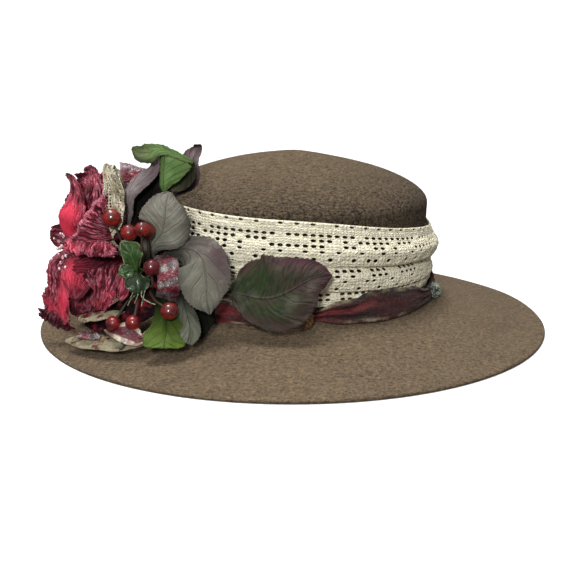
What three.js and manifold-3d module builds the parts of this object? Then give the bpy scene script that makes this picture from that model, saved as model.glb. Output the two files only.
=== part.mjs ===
// A brimmed felt hat with a crochet lace band, a swagged ribbon band and a silk posy at its front left.
// Millimetres, +Z up. The origin is on the surface that the rim rests on, under the middle of the brim.
// -X is the front of the hat and -Y its left side, where the posy sits.

import * as THREE from 'three';
import { mergeVertices } from 'three/addons/utils/BufferGeometryUtils.js';
import Module from 'manifold-3d';

const wasm = await Module();
wasm.setup();

// Driving sizes

const FELT = 2.5; // thickness of the felt
const SILK = 1.0; // thickness of petals and velvet leaves, with their stiffening
const GAP = 0.45; // clearance between neighbouring pieces
const SHEET_GAP = 0.7; // the same round bent sheets, whose facets cut their corners

const RIM = { along: 190, across: 172 }; // half lengths of the brim's outline
const REST_WIDTH = 3.5; // flat ring under the rim
const BRIM_FALL = 19.5; // how far the brim slopes down to its rim
const CROWN = { along: 99.5, across: 85.5 }; // half lengths of the crown's wall
const WALL_TOP = 92.5; // height where the wall turns into the shoulder
const WAIST = 1.8; // how far the wall draws in at the bands
const SHOULDER = 19; // height of the rounded shoulder
const DOME = 18; // height of the low dome above it
const CROWN_TILT = -0.02; // the top of the crown rises a little to the front

const LACE = { foot: 35, head: 91.5, slope: -0.115, thickness: 1.1, stand: 0.5 };
const RIBBON = { thickness: 1.0, stand: 1.2 };

const BERRY_STEM = 0.9; // half thickness of a berry's stem
const FACETS = 36; // sides of the rings round the hat

// Helpers

const vec = (x, y, z) => new THREE.Vector3(x, y, z);
const lerp = THREE.MathUtils.lerp;
const rad = THREE.MathUtils.degToRad;
const smooth = (from, to, x) => THREE.MathUtils.smoothstep(x, from, to);
const bump = (x, spread) => Math.exp(-((x / spread) ** 2));

// The shortest signed turn between two angles, in degrees.
const turnBetween = (a, b) => ((a - b + 540) % 360) - 180;

// A geometry with only positions, its shared corners merged and its faces pointing out.
function closed(geometry) {
  const bare = geometry.clone();
  bare.deleteAttribute('normal');
  bare.deleteAttribute('uv');
  const merged = mergeVertices(bare, 1e-3);
  const p = merged.attributes.position;
  const index = [];
  let volume = 0;
  const corner = [vec(), vec(), vec()];
  for (let i = 0; i < merged.index.count; i += 3) {
    const [a, b, c] = [0, 1, 2].map((k) => merged.index.getX(i + k));
    if (a === b || b === c || a === c) continue;
    index.push(a, b, c);
    [a, b, c].forEach((v, k) => corner[k].fromBufferAttribute(p, v));
    volume += corner[0].dot(corner[1].clone().cross(corner[2]));
  }
  if (volume < 0) index.reverse();
  merged.setIndex(index);
  return merged;
}

function toSolid(geometry) {
  const g = closed(geometry);
  return new wasm.Manifold(new wasm.Mesh({
    numProp: 3,
    vertProperties: new Float32Array(g.attributes.position.array),
    triVerts: new Uint32Array(g.index.array),
  }));
}

function toGeometry(solid) {
  const mesh = solid.getMesh();
  const g = new THREE.BufferGeometry();
  g.setAttribute('position', new THREE.BufferAttribute(new Float32Array(mesh.vertProperties), 3));
  g.setIndex(new THREE.BufferAttribute(new Uint32Array(mesh.triVerts), 1));
  return g;
}

const largest = (solid) => solid.decompose().sort((a, b) => b.volume() - a.volume())[0];

// The object: each piece is cut by the clearance of the pieces already there, where their boxes meet.

const hat = new THREE.Group();
const taken = [];

function boxesMeet(a, b) {
  return [0, 1, 2].every((k) => a.min[k] < b.max[k] && b.min[k] < a.max[k]);
}

function addPiece(name, material, geometry, clearance) {
  let solid = toSolid(geometry);
  for (const other of taken) {
    if (boxesMeet(solid.boundingBox(), other.boundingBox())) solid = solid.subtract(other);
  }
  solid = largest(solid);
  const mesh = new THREE.Mesh(toGeometry(solid), material);
  mesh.name = name;
  hat.add(mesh);
  if (clearance) taken.push(toSolid(clearance));
  return mesh;
}

function finish(colour, roughness, metalness = 0) {
  return new THREE.MeshStandardMaterial({ color: colour, roughness, metalness });
}

const FELT_BROWN = finish(0x7e6d59, 0.95);
const LACE_CREAM = finish(0xd8cba6, 0.85);
const RIBBON_TARTAN = finish(0x7d2f38, 0.5);
const KNOT_GOLD = finish(0x7a5a3a, 0.5);
const PETAL_RED = finish(0x8e2c40, 0.7);
const LEAF_VELVET = finish(0x66705c, 0.8);
const LEAF_GREEN = finish(0x5f7d42, 0.7);
const LEAF_GLOSSY = finish(0x24401f, 0.3);
const BERRY_RED = finish(0x7c1a17, 0.15);
const STEM_DARK = finish(0x3a2420, 0.6);
const STAMEN_PINK = finish(0xd9b3b0, 0.5);

// Felt hood: a lathed section whose rings are ellipses, {along, across, up}

// Half length of the crown's wall at a height, drawn in at the waist.
function wallHalf(axis, z) {
  return CROWN[axis] - WAIST * bump(z - 48, 30) + 1.4 * (1 - smooth(20, 34, z));
}

// Height of the brim's upper face, from its foot (s = 0) to its rim (s = 1).
const brimHeight = (s) => FELT + BRIM_FALL * (1 - s) ** 1.08;

function crownTopHeight(share) {
  const shoulder = SHOULDER * Math.max(0, 1 - share ** 2.8) ** (1 / 2.8);
  return WALL_TOP + shoulder + DOME * (1 - share ** 1.25);
}

function hoodSection(inset) {
  const rings = [];
  for (const share of [0, 0.35, 0.65, 0.84, 0.94, 0.985]) {
    rings.push({
      along: (CROWN.along - inset) * share,
      across: (CROWN.across - inset) * share,
      up: crownTopHeight(share) - inset,
    });
  }
  for (const z of [WALL_TOP - inset * 0.6, 62, 33]) {
    rings.push({ along: wallHalf('along', z) - inset, across: wallHalf('across', z) - inset, up: z });
  }
  for (const s of [0.015, 0.07, 0.5, 0.97]) {
    const lift = s < 0.05 ? 3.5 : 0;
    rings.push({
      along: lerp(CROWN.along + 1.5, RIM.along, s) - inset * 0.3 * (1 - s),
      across: lerp(CROWN.across + 1.5, RIM.across, s) - inset * 0.3 * (1 - s),
      up: brimHeight(s) + lift - inset,
    });
  }
  return rings;
}

function feltHood(grow) {
  const outer = hoodSection(-grow);
  const inner = hoodSection(FELT).reverse();
  inner[0] = { along: RIM.along - REST_WIDTH, across: RIM.across - REST_WIDTH, up: 0 };
  const rim = [
    { along: RIM.along - 0.8, across: RIM.across - 0.8, up: FELT },
    { along: RIM.along, across: RIM.across, up: FELT * 0.5 },
    { along: RIM.along - 0.5, across: RIM.across - 0.5, up: 0 },
  ];
  const rings = [...outer, ...rim, ...inner];
  const section = rings.map((ring) => new THREE.Vector2(ring.along, ring.up));
  const lathe = new THREE.LatheGeometry(section, FACETS);
  const p = lathe.attributes.position;
  for (let i = 0; i < p.count; i++) {
    const ring = rings[i % rings.length];
    const narrow = ring.along > 0 ? ring.across / ring.along : 1;
    const x = p.getX(i);
    const y = p.getZ(i) * narrow;
    const lean = CROWN_TILT * x * smooth(60, 110, ring.up);
    p.setXYZ(i, x, y, ring.up + lean);
  }
  return lathe;
}

// Bands: closed lathe rings whose corners are moved onto the crown's wall.
// Angles are in degrees round the crown: 180 is the front, 270 the hat's left side and 0 the back.

const at360 = (degrees) => ((degrees % 360) + 360) % 360;

// A point at an angle and a height, standing off the crown's wall.
function onWall(degrees, z, off) {
  const a = wallHalf('along', z) + off;
  const b = wallHalf('across', z) + off;
  return vec(a * Math.cos(rad(degrees)), b * Math.sin(rad(degrees)), z);
}

const LACE_RIDE = { at: 281, spread: 32, up: 4.2 };
const LACE_DIP = { at: 0, spread: 22, down: 3.5 };

// Soft folds that run round the lace: each stands off the crown or dips in, and fades out sideways.
const LACE_FOLDS = [
  { at: 350, spread: 75, level: 0.70, height: 0.16, off: 4.6 },
  { at: 350, spread: 60, level: 0.38, height: 0.08, off: -1.6 },
  { at: 345, spread: 60, level: 0.18, height: 0.12, off: 2.4 },
  { at: 268, spread: 40, level: 0.45, height: 0.12, off: 3.0 },
  { at: 225, spread: 35, level: 0.62, height: 0.14, off: 2.4 },
  { at: 150, spread: 60, level: 0.50, height: 0.15, off: 3.4 },
  { at: 75, spread: 55, level: 0.60, height: 0.15, off: 3.0 },
  { at: 60, spread: 50, level: 0.25, height: 0.10, off: 1.8 },
];

function laceOff(degrees, level) {
  let off = 1.6 + 1.6 * Math.sin(Math.PI * level);
  for (const fold of LACE_FOLDS) {
    const across = bump(turnBetween(degrees, fold.at), fold.spread);
    off += fold.off * across * bump(level - fold.level, fold.height);
  }
  return LACE.stand + off;
}

// Height of the lace's upper edge: it falls towards the back, where it dips, and rides up on the left side.
function laceHead(degrees) {
  const x = CROWN.along * Math.cos(rad(degrees));
  const ride = LACE_RIDE.up * bump(turnBetween(degrees, LACE_RIDE.at), LACE_RIDE.spread);
  const dip = LACE_DIP.down * bump(turnBetween(degrees, LACE_DIP.at), LACE_DIP.spread);
  return LACE.head + LACE.slope * x + ride - dip;
}

function lacePoint(degrees, level, layer) {
  const head = laceHead(degrees);
  return onWall(degrees, lerp(LACE.foot, head, level), laceOff(degrees, level) + layer);
}

// The ribbon's swags and the places where it is gathered: {at, head: height of its upper edge,
// off: how far its foot lies out on the brim, puff: how far its middle swells}
const RIBBON_SWAGS = [
  { at: 0, head: 36, off: 4.5, puff: 1.5 },
  { at: 22, head: 44, off: 6.0, puff: 2.5 },
  { at: 70, head: 42, off: 6.5, puff: 2.5 },
  { at: 120, head: 40, off: 6.5, puff: 2.5 },
  { at: 180, head: 42, off: 6.5, puff: 2.5 },
  { at: 225, head: 40, off: 6.0, puff: 2.0 },
  { at: 255, head: 37, off: 6.0, puff: 2.0 },
  { at: 275, head: 32, off: 3.0, puff: 0.3 },
  { at: 290, head: 39, off: 5.5, puff: 2.2 },
  { at: 306, head: 44.5, off: 6.8, puff: 3.0 },
  { at: 322, head: 41, off: 6.5, puff: 3.0 },
  { at: 338, head: 34, off: 5.0, puff: 1.5 },
  { at: 348, head: 31, off: 3.5, puff: 0.5 },
  { at: 360, head: 36, off: 4.5, puff: 1.5 },
];
const BRIM_FOOT = 29.4; // the ribbon's foot is this high less its distance from the wall, just above the brim

function swag(degrees, column) {
  const angle = at360(degrees);
  const after = RIBBON_SWAGS.findIndex((row, k) => k > 0 && row.at >= angle);
  const [a, b] = [RIBBON_SWAGS[after - 1], RIBBON_SWAGS[after]];
  return lerp(a[column], b[column], smooth(0, 1, (angle - a.at) / (b.at - a.at)));
}

// How far the ribbon's upper edge stands off, over the foot of the lace.
function overLace(degrees, z) {
  const over = smooth(LACE.foot - 6, LACE.foot - 1, z);
  return lerp(RIBBON.stand, laceOff(degrees, 0.15) + LACE.thickness + 2 * GAP, over);
}

function ribbonPoint(degrees, level, layer) {
  const off = swag(degrees, 'off');
  const head = swag(degrees, 'head');
  const out = lerp(off, overLace(degrees, head), level) + swag(degrees, 'puff') * Math.sin(Math.PI * level);
  return onWall(degrees, lerp(BRIM_FOOT - off, head, level), out + layer);
}

// A closed ring round the crown from point(degrees, level, layer), between two layers.
function bandGeometry(point, levels, from, to) {
  const section = [];
  for (let k = 0; k <= levels; k++) section.push({ level: k / levels, layer: to });
  for (let k = levels; k >= 0; k--) section.push({ level: k / levels, layer: from });
  section.push(section[0]);
  const ring = section.map((corner) => new THREE.Vector2(10 + corner.layer, corner.level));
  const lathe = new THREE.LatheGeometry(ring, FACETS);
  const p = lathe.attributes.position;
  for (let i = 0; i < p.count; i++) {
    const step = Math.floor(i / section.length) % FACETS;
    const corner = section[i % section.length];
    const q = point((360 * step) / FACETS, corner.level, corner.layer);
    p.setXYZ(i, q.x, q.y, q.z);
  }
  return lathe;
}

// Sheets: a thin box bent over a surface at(along, across), along 0 to 1 and across -1 to 1.
// The clearance round a sheet is the same box, thicker and wider by the gap.

function sheet(at, { rows, columns, thickness, half, length, fold = 0 }, grow) {
  const box = new THREE.BoxGeometry(2, 1, 1, columns, rows, 1);
  const p = box.attributes.position;
  const step = 1e-3;
  for (let i = 0; i < p.count; i++) {
    const across = p.getX(i) * (1 + grow / half);
    const along = 0.5 + p.getY(i) * (1 + (2 * grow) / length);
    const q = at(along, across);
    const onward = at(along + step, across).sub(at(along - step, across));
    const sideways = at(along, across + step).sub(at(along, across - step));
    const mitre = Math.abs(across) < step ? Math.hypot(1, fold) : 1;
    q.addScaledVector(sideways.cross(onward).normalize(), p.getZ(i) * mitre * (thickness + 2 * grow));
    p.setXYZ(i, q.x, q.y, q.z);
  }
  return box;
}

// A blade follows a spine from root to tip. Across it, it is as wide as its outline says,
// folded down both sides of its middle line and dished.
function blade({ route, across, half, outline, fold = 0, dish = 0 }) {
  const curve = new THREE.CatmullRomCurve3(route.map((q) => vec(...q)), false, 'catmullrom', 0.5);
  const length = curve.getLength();
  const at = (t, v) => {
    const u = THREE.MathUtils.clamp(t, 0, 1);
    const tangent = curve.getTangent(u);
    const side = vec(...across);
    side.addScaledVector(tangent, -side.dot(tangent)).normalize();
    const normal = side.clone().cross(tangent);
    const width = half * outline(u);
    return curve.getPoint(u)
      .addScaledVector(tangent, (t - u) * length)
      .addScaledVector(side, v * width)
      .addScaledVector(normal, -width * (fold * Math.abs(v) + dish * v * v));
  };
  return { at, length };
}

function addBlade(name, material, row, { rows, columns, thickness }) {
  const { at, length } = blade(row);
  const shape = { rows, columns, thickness, half: row.half, length, fold: row.fold };
  addPiece(name, material, sheet(at, shape, 0), sheet(at, shape, SHEET_GAP));
}

// Outlines: half width as a share, from root to tip.

// A leaf on a stalk: narrow as far as the blade's heel, widest past it, then drawn in to the tip.
const leafOutline = (stalk) => (t) => {
  const blade = Math.max(0, (t - stalk) / (1 - stalk));
  return 0.1 + 0.9 * Math.max(0, Math.sin(Math.PI * blade ** 0.75)) ** 0.75;
};

// A fan: widening all the way to its end.
const fanOutline = (t) => 0.12 + 0.88 * smooth(0.15, 1, t);

const petalOutline = (t) => 0.3 + 0.7 * Math.sin(Math.PI * Math.min(1, t) ** 1.15 * 0.97) ** 0.7;
const strapOutline = () => 1;

// Stems and bloom's centre

// The bound stems: a short spindle from the band out to the back of the bloom.
const BUNDLE = { from: vec(-87, -68, 47), to: vec(-120, -64, 63), half: 8 };
const STEM_ROOT = { at: vec(-101, -69, 54), apart: 2.6 }; // where the berry stems come out

function stemBundle(grow) {
  const length = BUNDLE.from.distanceTo(BUNDLE.to);
  const side = [0, 0.25, 0.75, 1].map((t) => {
    const half = BUNDLE.half * (0.6 + 0.4 * Math.sin(Math.PI * t));
    return new THREE.Vector2(half + grow, t * length + (t - 0.5) * 2 * grow);
  });
  const section = [new THREE.Vector2(0, -grow), ...side, new THREE.Vector2(0, length + grow)];
  const axis = BUNDLE.to.clone().sub(BUNDLE.from).normalize();
  const turn = new THREE.Quaternion().setFromUnitVectors(vec(0, 1, 0), axis);
  const { x, y, z } = BUNDLE.from;
  return new THREE.LatheGeometry(section, 8).applyQuaternion(turn).translate(x, y, z);
}

// The tuft of stamens, at the front of the bloom.
const CENTRE = { at: vec(-149, -63, 69), half: 7, deep: 11, axis: vec(-0.95, -0.1, 0.2).normalize() };

function flowerCentre(grow) {
  const tuft = new THREE.SphereGeometry(1, 8, 6);
  tuft.scale(CENTRE.half + grow, CENTRE.half + grow, CENTRE.deep + grow);
  const turn = new THREE.Quaternion().setFromUnitVectors(vec(0, 0, 1), CENTRE.axis);
  return tuft.applyQuaternion(turn).translate(CENTRE.at.x, CENTRE.at.y, CENTRE.at.z);
}

// Berries: {at, half size, middle of its stem}
const BERRIES = [
  { at: [-117, -97, 99], half: 6.0, stem: [-111, -90, 78] },
  { at: [-106, -99, 89.5], half: 5.5, stem: [-104, -92, 72] },
  { at: [-97, -102, 92.5], half: 4.9, stem: [-99, -95, 72] },
  { at: [-95.5, -90, 88.5], half: 5.0, stem: [-96, -85, 72] },
  { at: [-91.5, -105, 68], half: 5.4, stem: [-93, -98, 53] },
  { at: [-80, -114, 41], half: 5.8, stem: [-92, -100, 46] },
  { at: [-119, -102, 29], half: 5.0, stem: [-110, -92, 42] },
  { at: [-105, -107, 31], half: 5.2, stem: [-102, -96, 45] },
];

function berry({ at, half }, grow) {
  return new THREE.SphereGeometry(half + grow, 8, 6).rotateX(Math.PI / 2).translate(...at);
}

function tube(points, half, sides, steps) {
  const circle = new THREE.Shape().absarc(0, 0, half, 0, 2 * Math.PI);
  const path = new THREE.CatmullRomCurve3(points);
  return new THREE.ExtrudeGeometry(circle, {
    steps, extrudePath: path, curveSegments: sides, bevelEnabled: false,
  });
}

// The stem stops short of the berry, which keeps its clearance.
function berryStem({ at, half, stem }, k, grow) {
  const root = STEM_ROOT.at.clone();
  root.x += ((k % 4) - 1.5) * STEM_ROOT.apart;
  root.z += (k < 4 ? 0.6 : -0.6) * STEM_ROOT.apart;
  const top = vec(...at);
  const middle = vec(...stem);
  top.lerp(middle, (half + GAP - grow) / top.distanceTo(middle));
  root.lerp(middle, -grow / root.distanceTo(middle));
  return tube([root, middle, top], BERRY_STEM + grow, 4, 4);
}

// Blades of the posy: {route from root to tip, across: the way its width runs, half width, fold, dish}

const PETAL_ROOT = [-122, -64, 64];
const PETALS = [
  { name: 'petal_front_1', half: 12, dish: 0.3, across: [1, 0, 0],
    route: [PETAL_ROOT, [-140, -80, 89], [-147, -80, 106], [-154, -66, 120]] },
  { name: 'petal_front_2', half: 12, dish: 0.3, across: [1, 0.2, 0],
    route: [PETAL_ROOT, [-129, -78, 97], [-131, -78, 113], [-138, -62, 123]] },
  { name: 'petal_front_3', half: 10, dish: 0.2, across: [1, 0.3, 0],
    route: [PETAL_ROOT, [-126, -62, 101], [-127, -58, 115], [-131, -50, 123]] },
  { name: 'petal_front_4', half: 15, dish: 0.2, across: [1, 0, -0.7],
    route: [PETAL_ROOT, [-124, -86, 100], [-131, -101, 101], [-138, -105, 88]] },
  { name: 'petal_front_5', half: 17, dish: 0.25, across: [1, -0.35, 0],
    route: [PETAL_ROOT, [-126, -78, 74], [-130, -92, 80], [-135, -104, 80]] },
  { name: 'petal_front_6', half: 12, dish: -0.3, across: [0.5, 0, 0.9],
    route: [PETAL_ROOT, [-137, -80, 62], [-146, -90, 58], [-152, -93, 45]] },
  { name: 'petal_front_7', half: 9, dish: 0.3, across: [1, -0.2, 0.2],
    route: [PETAL_ROOT, [-155, -74, 64], [-162, -80, 42], [-172, -66, 14]] },
  { name: 'petal_front_8', half: 15, dish: 0.2, across: [1, 0, 0],
    route: [PETAL_ROOT, [-126, -98, 67], [-125, -108, 54], [-126, -105, 38]] },
  { name: 'petal_front_9', half: 9, dish: 0.3, across: [0.8, 0.6, 0],
    route: [PETAL_ROOT, [-114, -92, 68], [-111, -100, 56], [-114, -98, 42]] },
  { name: 'petal_left', half: 13, dish: 0.2, across: [0.2, 0.3, 1],
    route: [PETAL_ROOT, [-150, -46, 70], [-166, -38, 73], [-174, -30, 72]] },
  { name: 'petal_inner_1', half: 12, dish: 0.5, across: [0.2, 1, 0],
    route: [PETAL_ROOT, [-140, -58, 80], [-152, -56, 90], [-164, -54, 96]] },
  { name: 'petal_inner_2', half: 12, dish: -0.5, across: [0.2, 1, 0],
    route: [PETAL_ROOT, [-140, -58, 56], [-154, -54, 48], [-166, -46, 46]] },
  { name: 'petal_back_1', half: 15, dish: 0.2, across: [0.6, 0.8, 0],
    route: [PETAL_ROOT, [-132, -46, 90], [-142, -32, 106], [-156, -24, 112]] },
  { name: 'petal_back_2', half: 16, dish: 0.2, across: [0.3, 0, 1],
    route: [PETAL_ROOT, [-132, -38, 66], [-142, -18, 70], [-156, -6, 76]] },
  { name: 'petal_back_3', half: 15, dish: 0.2, across: [0.8, 0, 0.6],
    route: [PETAL_ROOT, [-132, -42, 48], [-144, -26, 34], [-160, -18, 28]] },
  { name: 'petal_back_4', half: 15, dish: 0.2, across: [0.7, 0.7, 0],
    route: [PETAL_ROOT, [-134, -60, 44], [-144, -52, 28], [-158, -40, 16]] },
];

const LEAVES = [
  { name: 'leaf_large', material: LEAF_VELVET, stalk: 0.36, half: 27, fold: 0.1, dish: 0.1,
    across: [0, 0.1, -1],
    route: [[-90, -78, 48], [-42, -99, 44], [-6, -105, 52], [27, -100, 62]] },
  { name: 'leaf_side', material: LEAF_VELVET, stalk: 0.28, half: 18, fold: 0.05, dish: 0.15,
    across: [-1, 0, 0],
    route: [[-92, -76, 58], [-70, -90, 80], [-57, -104, 66], [-56, -111, 38]] },
  { name: 'leaf_upper', material: LEAF_VELVET, stalk: 0.2, half: 20, fold: 0.1, dish: 0.15,
    across: [1, 0.2, -0.4],
    route: [[-100, -74, 62], [-94, -88, 80], [-82, -91, 96], [-72, -82, 111]] },
  { name: 'leaf_folded', material: LEAF_GREEN, stalk: 0.42, half: 13, fold: 1.5, dish: 0, across: [0, 1, 0],
    route: [[-98, -66, 68], [-68, -62, 122], [-80, -70, 142], [-103, -76, 140]] },
  { name: 'leaf_tip', material: LEAF_VELVET, stalk: 0.4, half: 8, fold: 0.4, dish: 0, across: [1, 0.3, 0],
    route: [[-90, -72, 66], [-77, -72, 100], [-68, -62, 122], [-63, -56, 138]] },
  { name: 'leaf_curled', material: LEAF_VELVET, stalk: 0.1, half: 9, fold: 0, dish: 0.3, across: [1, 0, -0.3],
    route: [[-106, -72, 66], [-112, -80, 90], [-105, -76, 113], [-89, -74, 134]] },
  { name: 'leaf_lower_green', material: LEAF_GREEN, half: 15, fold: 0.2, dish: 0, across: [-1, 0, 0],
    route: [[-98, -78, 52], [-86, -100, 42], [-83, -115, 30], [-82, -125, 20]] },
  { name: 'leaf_lower_grey', material: LEAF_VELVET, stalk: 0.4, half: 8, fold: 0.3, dish: 0,
    across: [-1, 0, 0],
    route: [[-94, -76, 52], [-70, -102, 45], [-67, -112, 33], [-66, -120, 20]] },
  { name: 'glossy_leaf_1', material: LEAF_GLOSSY, stalk: 0.2, half: 8, fold: 0.35, dish: 0, across: [1, 0, 0],
    route: [[-103, -82, 56], [-105, -93, 60], [-108, -98, 69], [-112, -100, 80]] },
  { name: 'glossy_leaf_2', material: LEAF_GLOSSY, stalk: 0.2, half: 7, fold: 0.35, dish: 0,
    across: [1, 0, 0.6],
    route: [[-103, -84, 50], [-109, -95, 54], [-113, -101, 60], [-117, -103, 66]] },
  { name: 'glossy_leaf_3', material: LEAF_GLOSSY, stalk: 0.2, half: 7, fold: 0.35, dish: 0, across: [1, 0, 0],
    route: [[-101, -86, 50], [-102, -97, 54], [-102, -103, 62], [-100, -104, 72]] },
];

const STRAPS = [
  { name: 'lace_loop', material: LACE_CREAM, half: 7.5, dish: 0.2, thickness: 1.6, across: [1, 0, 0],
    route: [[-108, -74, 64], [-115, -90, 84], [-117, -92, 108], [-118, -86, 128],
      [-116, -78, 112], [-112, -75, 90]] },
  { name: 'ribbon_loop_top', material: RIBBON_TARTAN, half: 8, dish: 0.1, thickness: 1, across: [1, 0, 0.5],
    route: [[-106, -68, 68], [-109, -74, 98], [-107, -72, 124], [-100, -66, 120], [-99, -62, 96]] },
  { name: 'ribbon_loop_side', material: RIBBON_TARTAN, half: 7.5, thickness: 1, across: [1, 0, 0],
    route: [[-88, -80, 38], [-83, -98, 45], [-81, -104, 57], [-82, -97, 70], [-88, -80, 70]] },
  { name: 'ribbon_tail_upper', material: RIBBON_TARTAN, half: 8, thickness: 1, across: [0, 1, 0],
    route: [[-104, -76, 46], [-118, -88, 37], [-130, -91, 33], [-144, -92, 31]] },
  { name: 'ribbon_tail_lower', material: RIBBON_TARTAN, half: 9, dish: 0.2, thickness: 1, across: [0.2, 1, 0],
    route: [[-100, -80, 42], [-102, -100, 24], [-114, -104, 13.5], [-136, -94, 11], [-158, -82, 11]] },
  { name: 'ribbon_fold', material: RIBBON_TARTAN, half: 9, fold: 0.3, thickness: 1, across: [1, 0, 0],
    route: [[-100, -84, 38], [-105, -100, 29], [-113, -109, 21], [-124, -111, 14]] },
];

function knot({ at, half }, grow) {
  const ball = new THREE.SphereGeometry(1, 10, 6).rotateX(Math.PI / 2);
  return ball.scale(...half.map((size) => size + grow)).translate(...at);
}

const KNOTS = [
  { name: 'ribbon_knot_front', material: KNOT_GOLD, at: [9, -96, 30], half: [5, 5, 7] },
  { name: 'ribbon_knot_back', material: RIBBON_TARTAN, at: [107, -20, 29], half: [6, 7.5, 6.5] },
];

// Assembly: each piece is cut clear of the ones before it

addPiece('felt_hood', FELT_BROWN, feltHood(0), null);

const laceRing = (from, to) => bandGeometry(lacePoint, 5, from, to);
const ribbonRing = (from, to) => bandGeometry(ribbonPoint, 3, from, to);
addPiece('lace_band', LACE_CREAM, laceRing(0, LACE.thickness), null);
addPiece('ribbon_band', RIBBON_TARTAN, ribbonRing(0, RIBBON.thickness), null);
taken.push(toSolid(feltHood(GAP)));
taken.push(toSolid(laceRing(-LACE.stand, LACE.thickness + GAP)));
taken.push(toSolid(ribbonRing(-RIBBON.stand, RIBBON.thickness + GAP)));

for (const row of KNOTS) addPiece(row.name, row.material, knot(row, 0), knot(row, GAP));
addPiece('stem_bundle', STEM_DARK, stemBundle(0), stemBundle(GAP));
addPiece('flower_centre', STAMEN_PINK, flowerCentre(0), flowerCentre(GAP));
for (const [k, row] of BERRIES.entries()) {
  addPiece(`berry_${k + 1}`, BERRY_RED, berry(row, 0), berry(row, GAP));
}
for (const [k, row] of BERRIES.entries()) {
  addPiece(`berry_stem_${k + 1}`, STEM_DARK, berryStem(row, k, 0), berryStem(row, k, GAP));
}
for (const row of STRAPS) {
  const { thickness } = row;
  addBlade(row.name, row.material, { ...row, outline: strapOutline }, { rows: 8, columns: 2, thickness });
}
for (const row of LEAVES) {
  const outline = row.stalk ? leafOutline(row.stalk) : fanOutline;
  addBlade(row.name, row.material, { ...row, outline }, { rows: 6, columns: 2, thickness: SILK });
}
for (const row of PETALS) {
  addBlade(row.name, PETAL_RED, { ...row, outline: petalOutline }, { rows: 5, columns: 2, thickness: SILK });
}

export default hat;
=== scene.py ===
"""The visible model of a brimmed felt hat with a crochet band, a tartan ribbon and a silk posy."""

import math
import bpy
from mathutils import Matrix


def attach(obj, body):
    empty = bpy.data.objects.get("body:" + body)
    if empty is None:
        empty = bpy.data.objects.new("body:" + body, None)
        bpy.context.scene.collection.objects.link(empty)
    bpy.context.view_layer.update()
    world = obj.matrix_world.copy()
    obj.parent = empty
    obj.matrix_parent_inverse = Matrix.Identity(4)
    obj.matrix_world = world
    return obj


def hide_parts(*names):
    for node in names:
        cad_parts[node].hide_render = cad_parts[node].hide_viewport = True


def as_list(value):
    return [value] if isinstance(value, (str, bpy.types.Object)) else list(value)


bl_info = {
    "name": "Brimmed Hat",
    "version": (1, 0, 0),
    "blender": (4, 5, 0),
    "location": "3D View > Sidebar > Hat",
    "description": "Builds a felt hat with its bands, its posy and a plain studio",
    "category": "Object",
}

import bmesh
import bpy
from bpy.props import FloatProperty, FloatVectorProperty, PointerProperty
from mathutils import Vector, noise

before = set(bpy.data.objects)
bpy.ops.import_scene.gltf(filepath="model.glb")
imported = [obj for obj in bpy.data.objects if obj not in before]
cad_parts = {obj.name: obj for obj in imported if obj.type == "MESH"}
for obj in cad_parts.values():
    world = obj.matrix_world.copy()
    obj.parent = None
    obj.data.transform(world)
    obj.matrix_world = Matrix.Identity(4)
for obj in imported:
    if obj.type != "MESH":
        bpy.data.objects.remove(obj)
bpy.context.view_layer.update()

MM = 0.001


# Small sums

def lerp(a, b, t):
    return a + (b - a) * t


def smooth(low, high, x):
    t = min(1.0, max(0.0, (x - low) / (high - low)))
    return t * t * (3.0 - 2.0 * t)


def hill(x, spread):
    return math.exp(-((x / spread) ** 2))


def turn_between(a, b):
    """The shortest signed turn between two angles, in degrees."""
    return (a - b + 540.0) % 360.0 - 180.0


def ring(angle, side, other):
    """A step round a circle, from its two directions."""
    return math.cos(angle) * side + math.sin(angle) * other


def spot(spots, t, v):
    """The strongest of some soft spots, each (along, across, two spreads, strength)."""
    return max([s * hill(t - at, rt) * hill(v - side, rv) for at, side, rt, rv, s in spots], default=0.0)


def crest(x):
    """Sharp crests with round valleys, 0 to 1, one for each whole number."""
    return 1.0 - abs(math.sin(math.pi * x)) ** 0.7


def grain(x, y, seed):
    """Smooth noise from -1 to 1 on a sheet."""
    return noise.noise(Vector((x, y, seed * 7.3)))


def spline(rows, t):
    """A point on the smooth line through rows of numbers, t from 0 to 1."""
    last = len(rows) - 1
    place = min(max(t, 0.0), 1.0) * last
    k = min(int(place), last - 1)
    f = place - k
    p1, p2 = rows[k], rows[k + 1]
    p0 = rows[k - 1] if k > 0 else [2 * a - b for a, b in zip(p1, p2)]
    p3 = rows[k + 2] if k + 2 <= last else [2 * b - a for a, b in zip(p1, p2)]
    found = []
    for a, b, c, d in zip(p0, p1, p2, p3):
        bend = 2 * a - 5 * b + 4 * c - d
        rest = -a + 3 * b - 3 * c + d
        found.append(b + 0.5 * f * ((c - a) + f * (bend + f * rest)))
    return found


def srgb(red, green, blue):
    """A colour as it is picked on screen, 0 to 255, made linear."""
    made = []
    for part in (red, green, blue):
        c = part / 255.0
        made.append(c / 12.92 if c <= 0.04045 else ((c + 0.055) / 1.055) ** 2.4)
    return tuple(made)


# Settings

def length(name, text, size):
    return FloatProperty(name=name, description=text, default=size * MM, min=0.0, unit="LENGTH")


def colour(name, text, red, green, blue):
    return FloatVectorProperty(
        name=name, description=text, default=srgb(red, green, blue),
        min=0.0, max=1.0, size=3, subtype="COLOR",
    )


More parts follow.
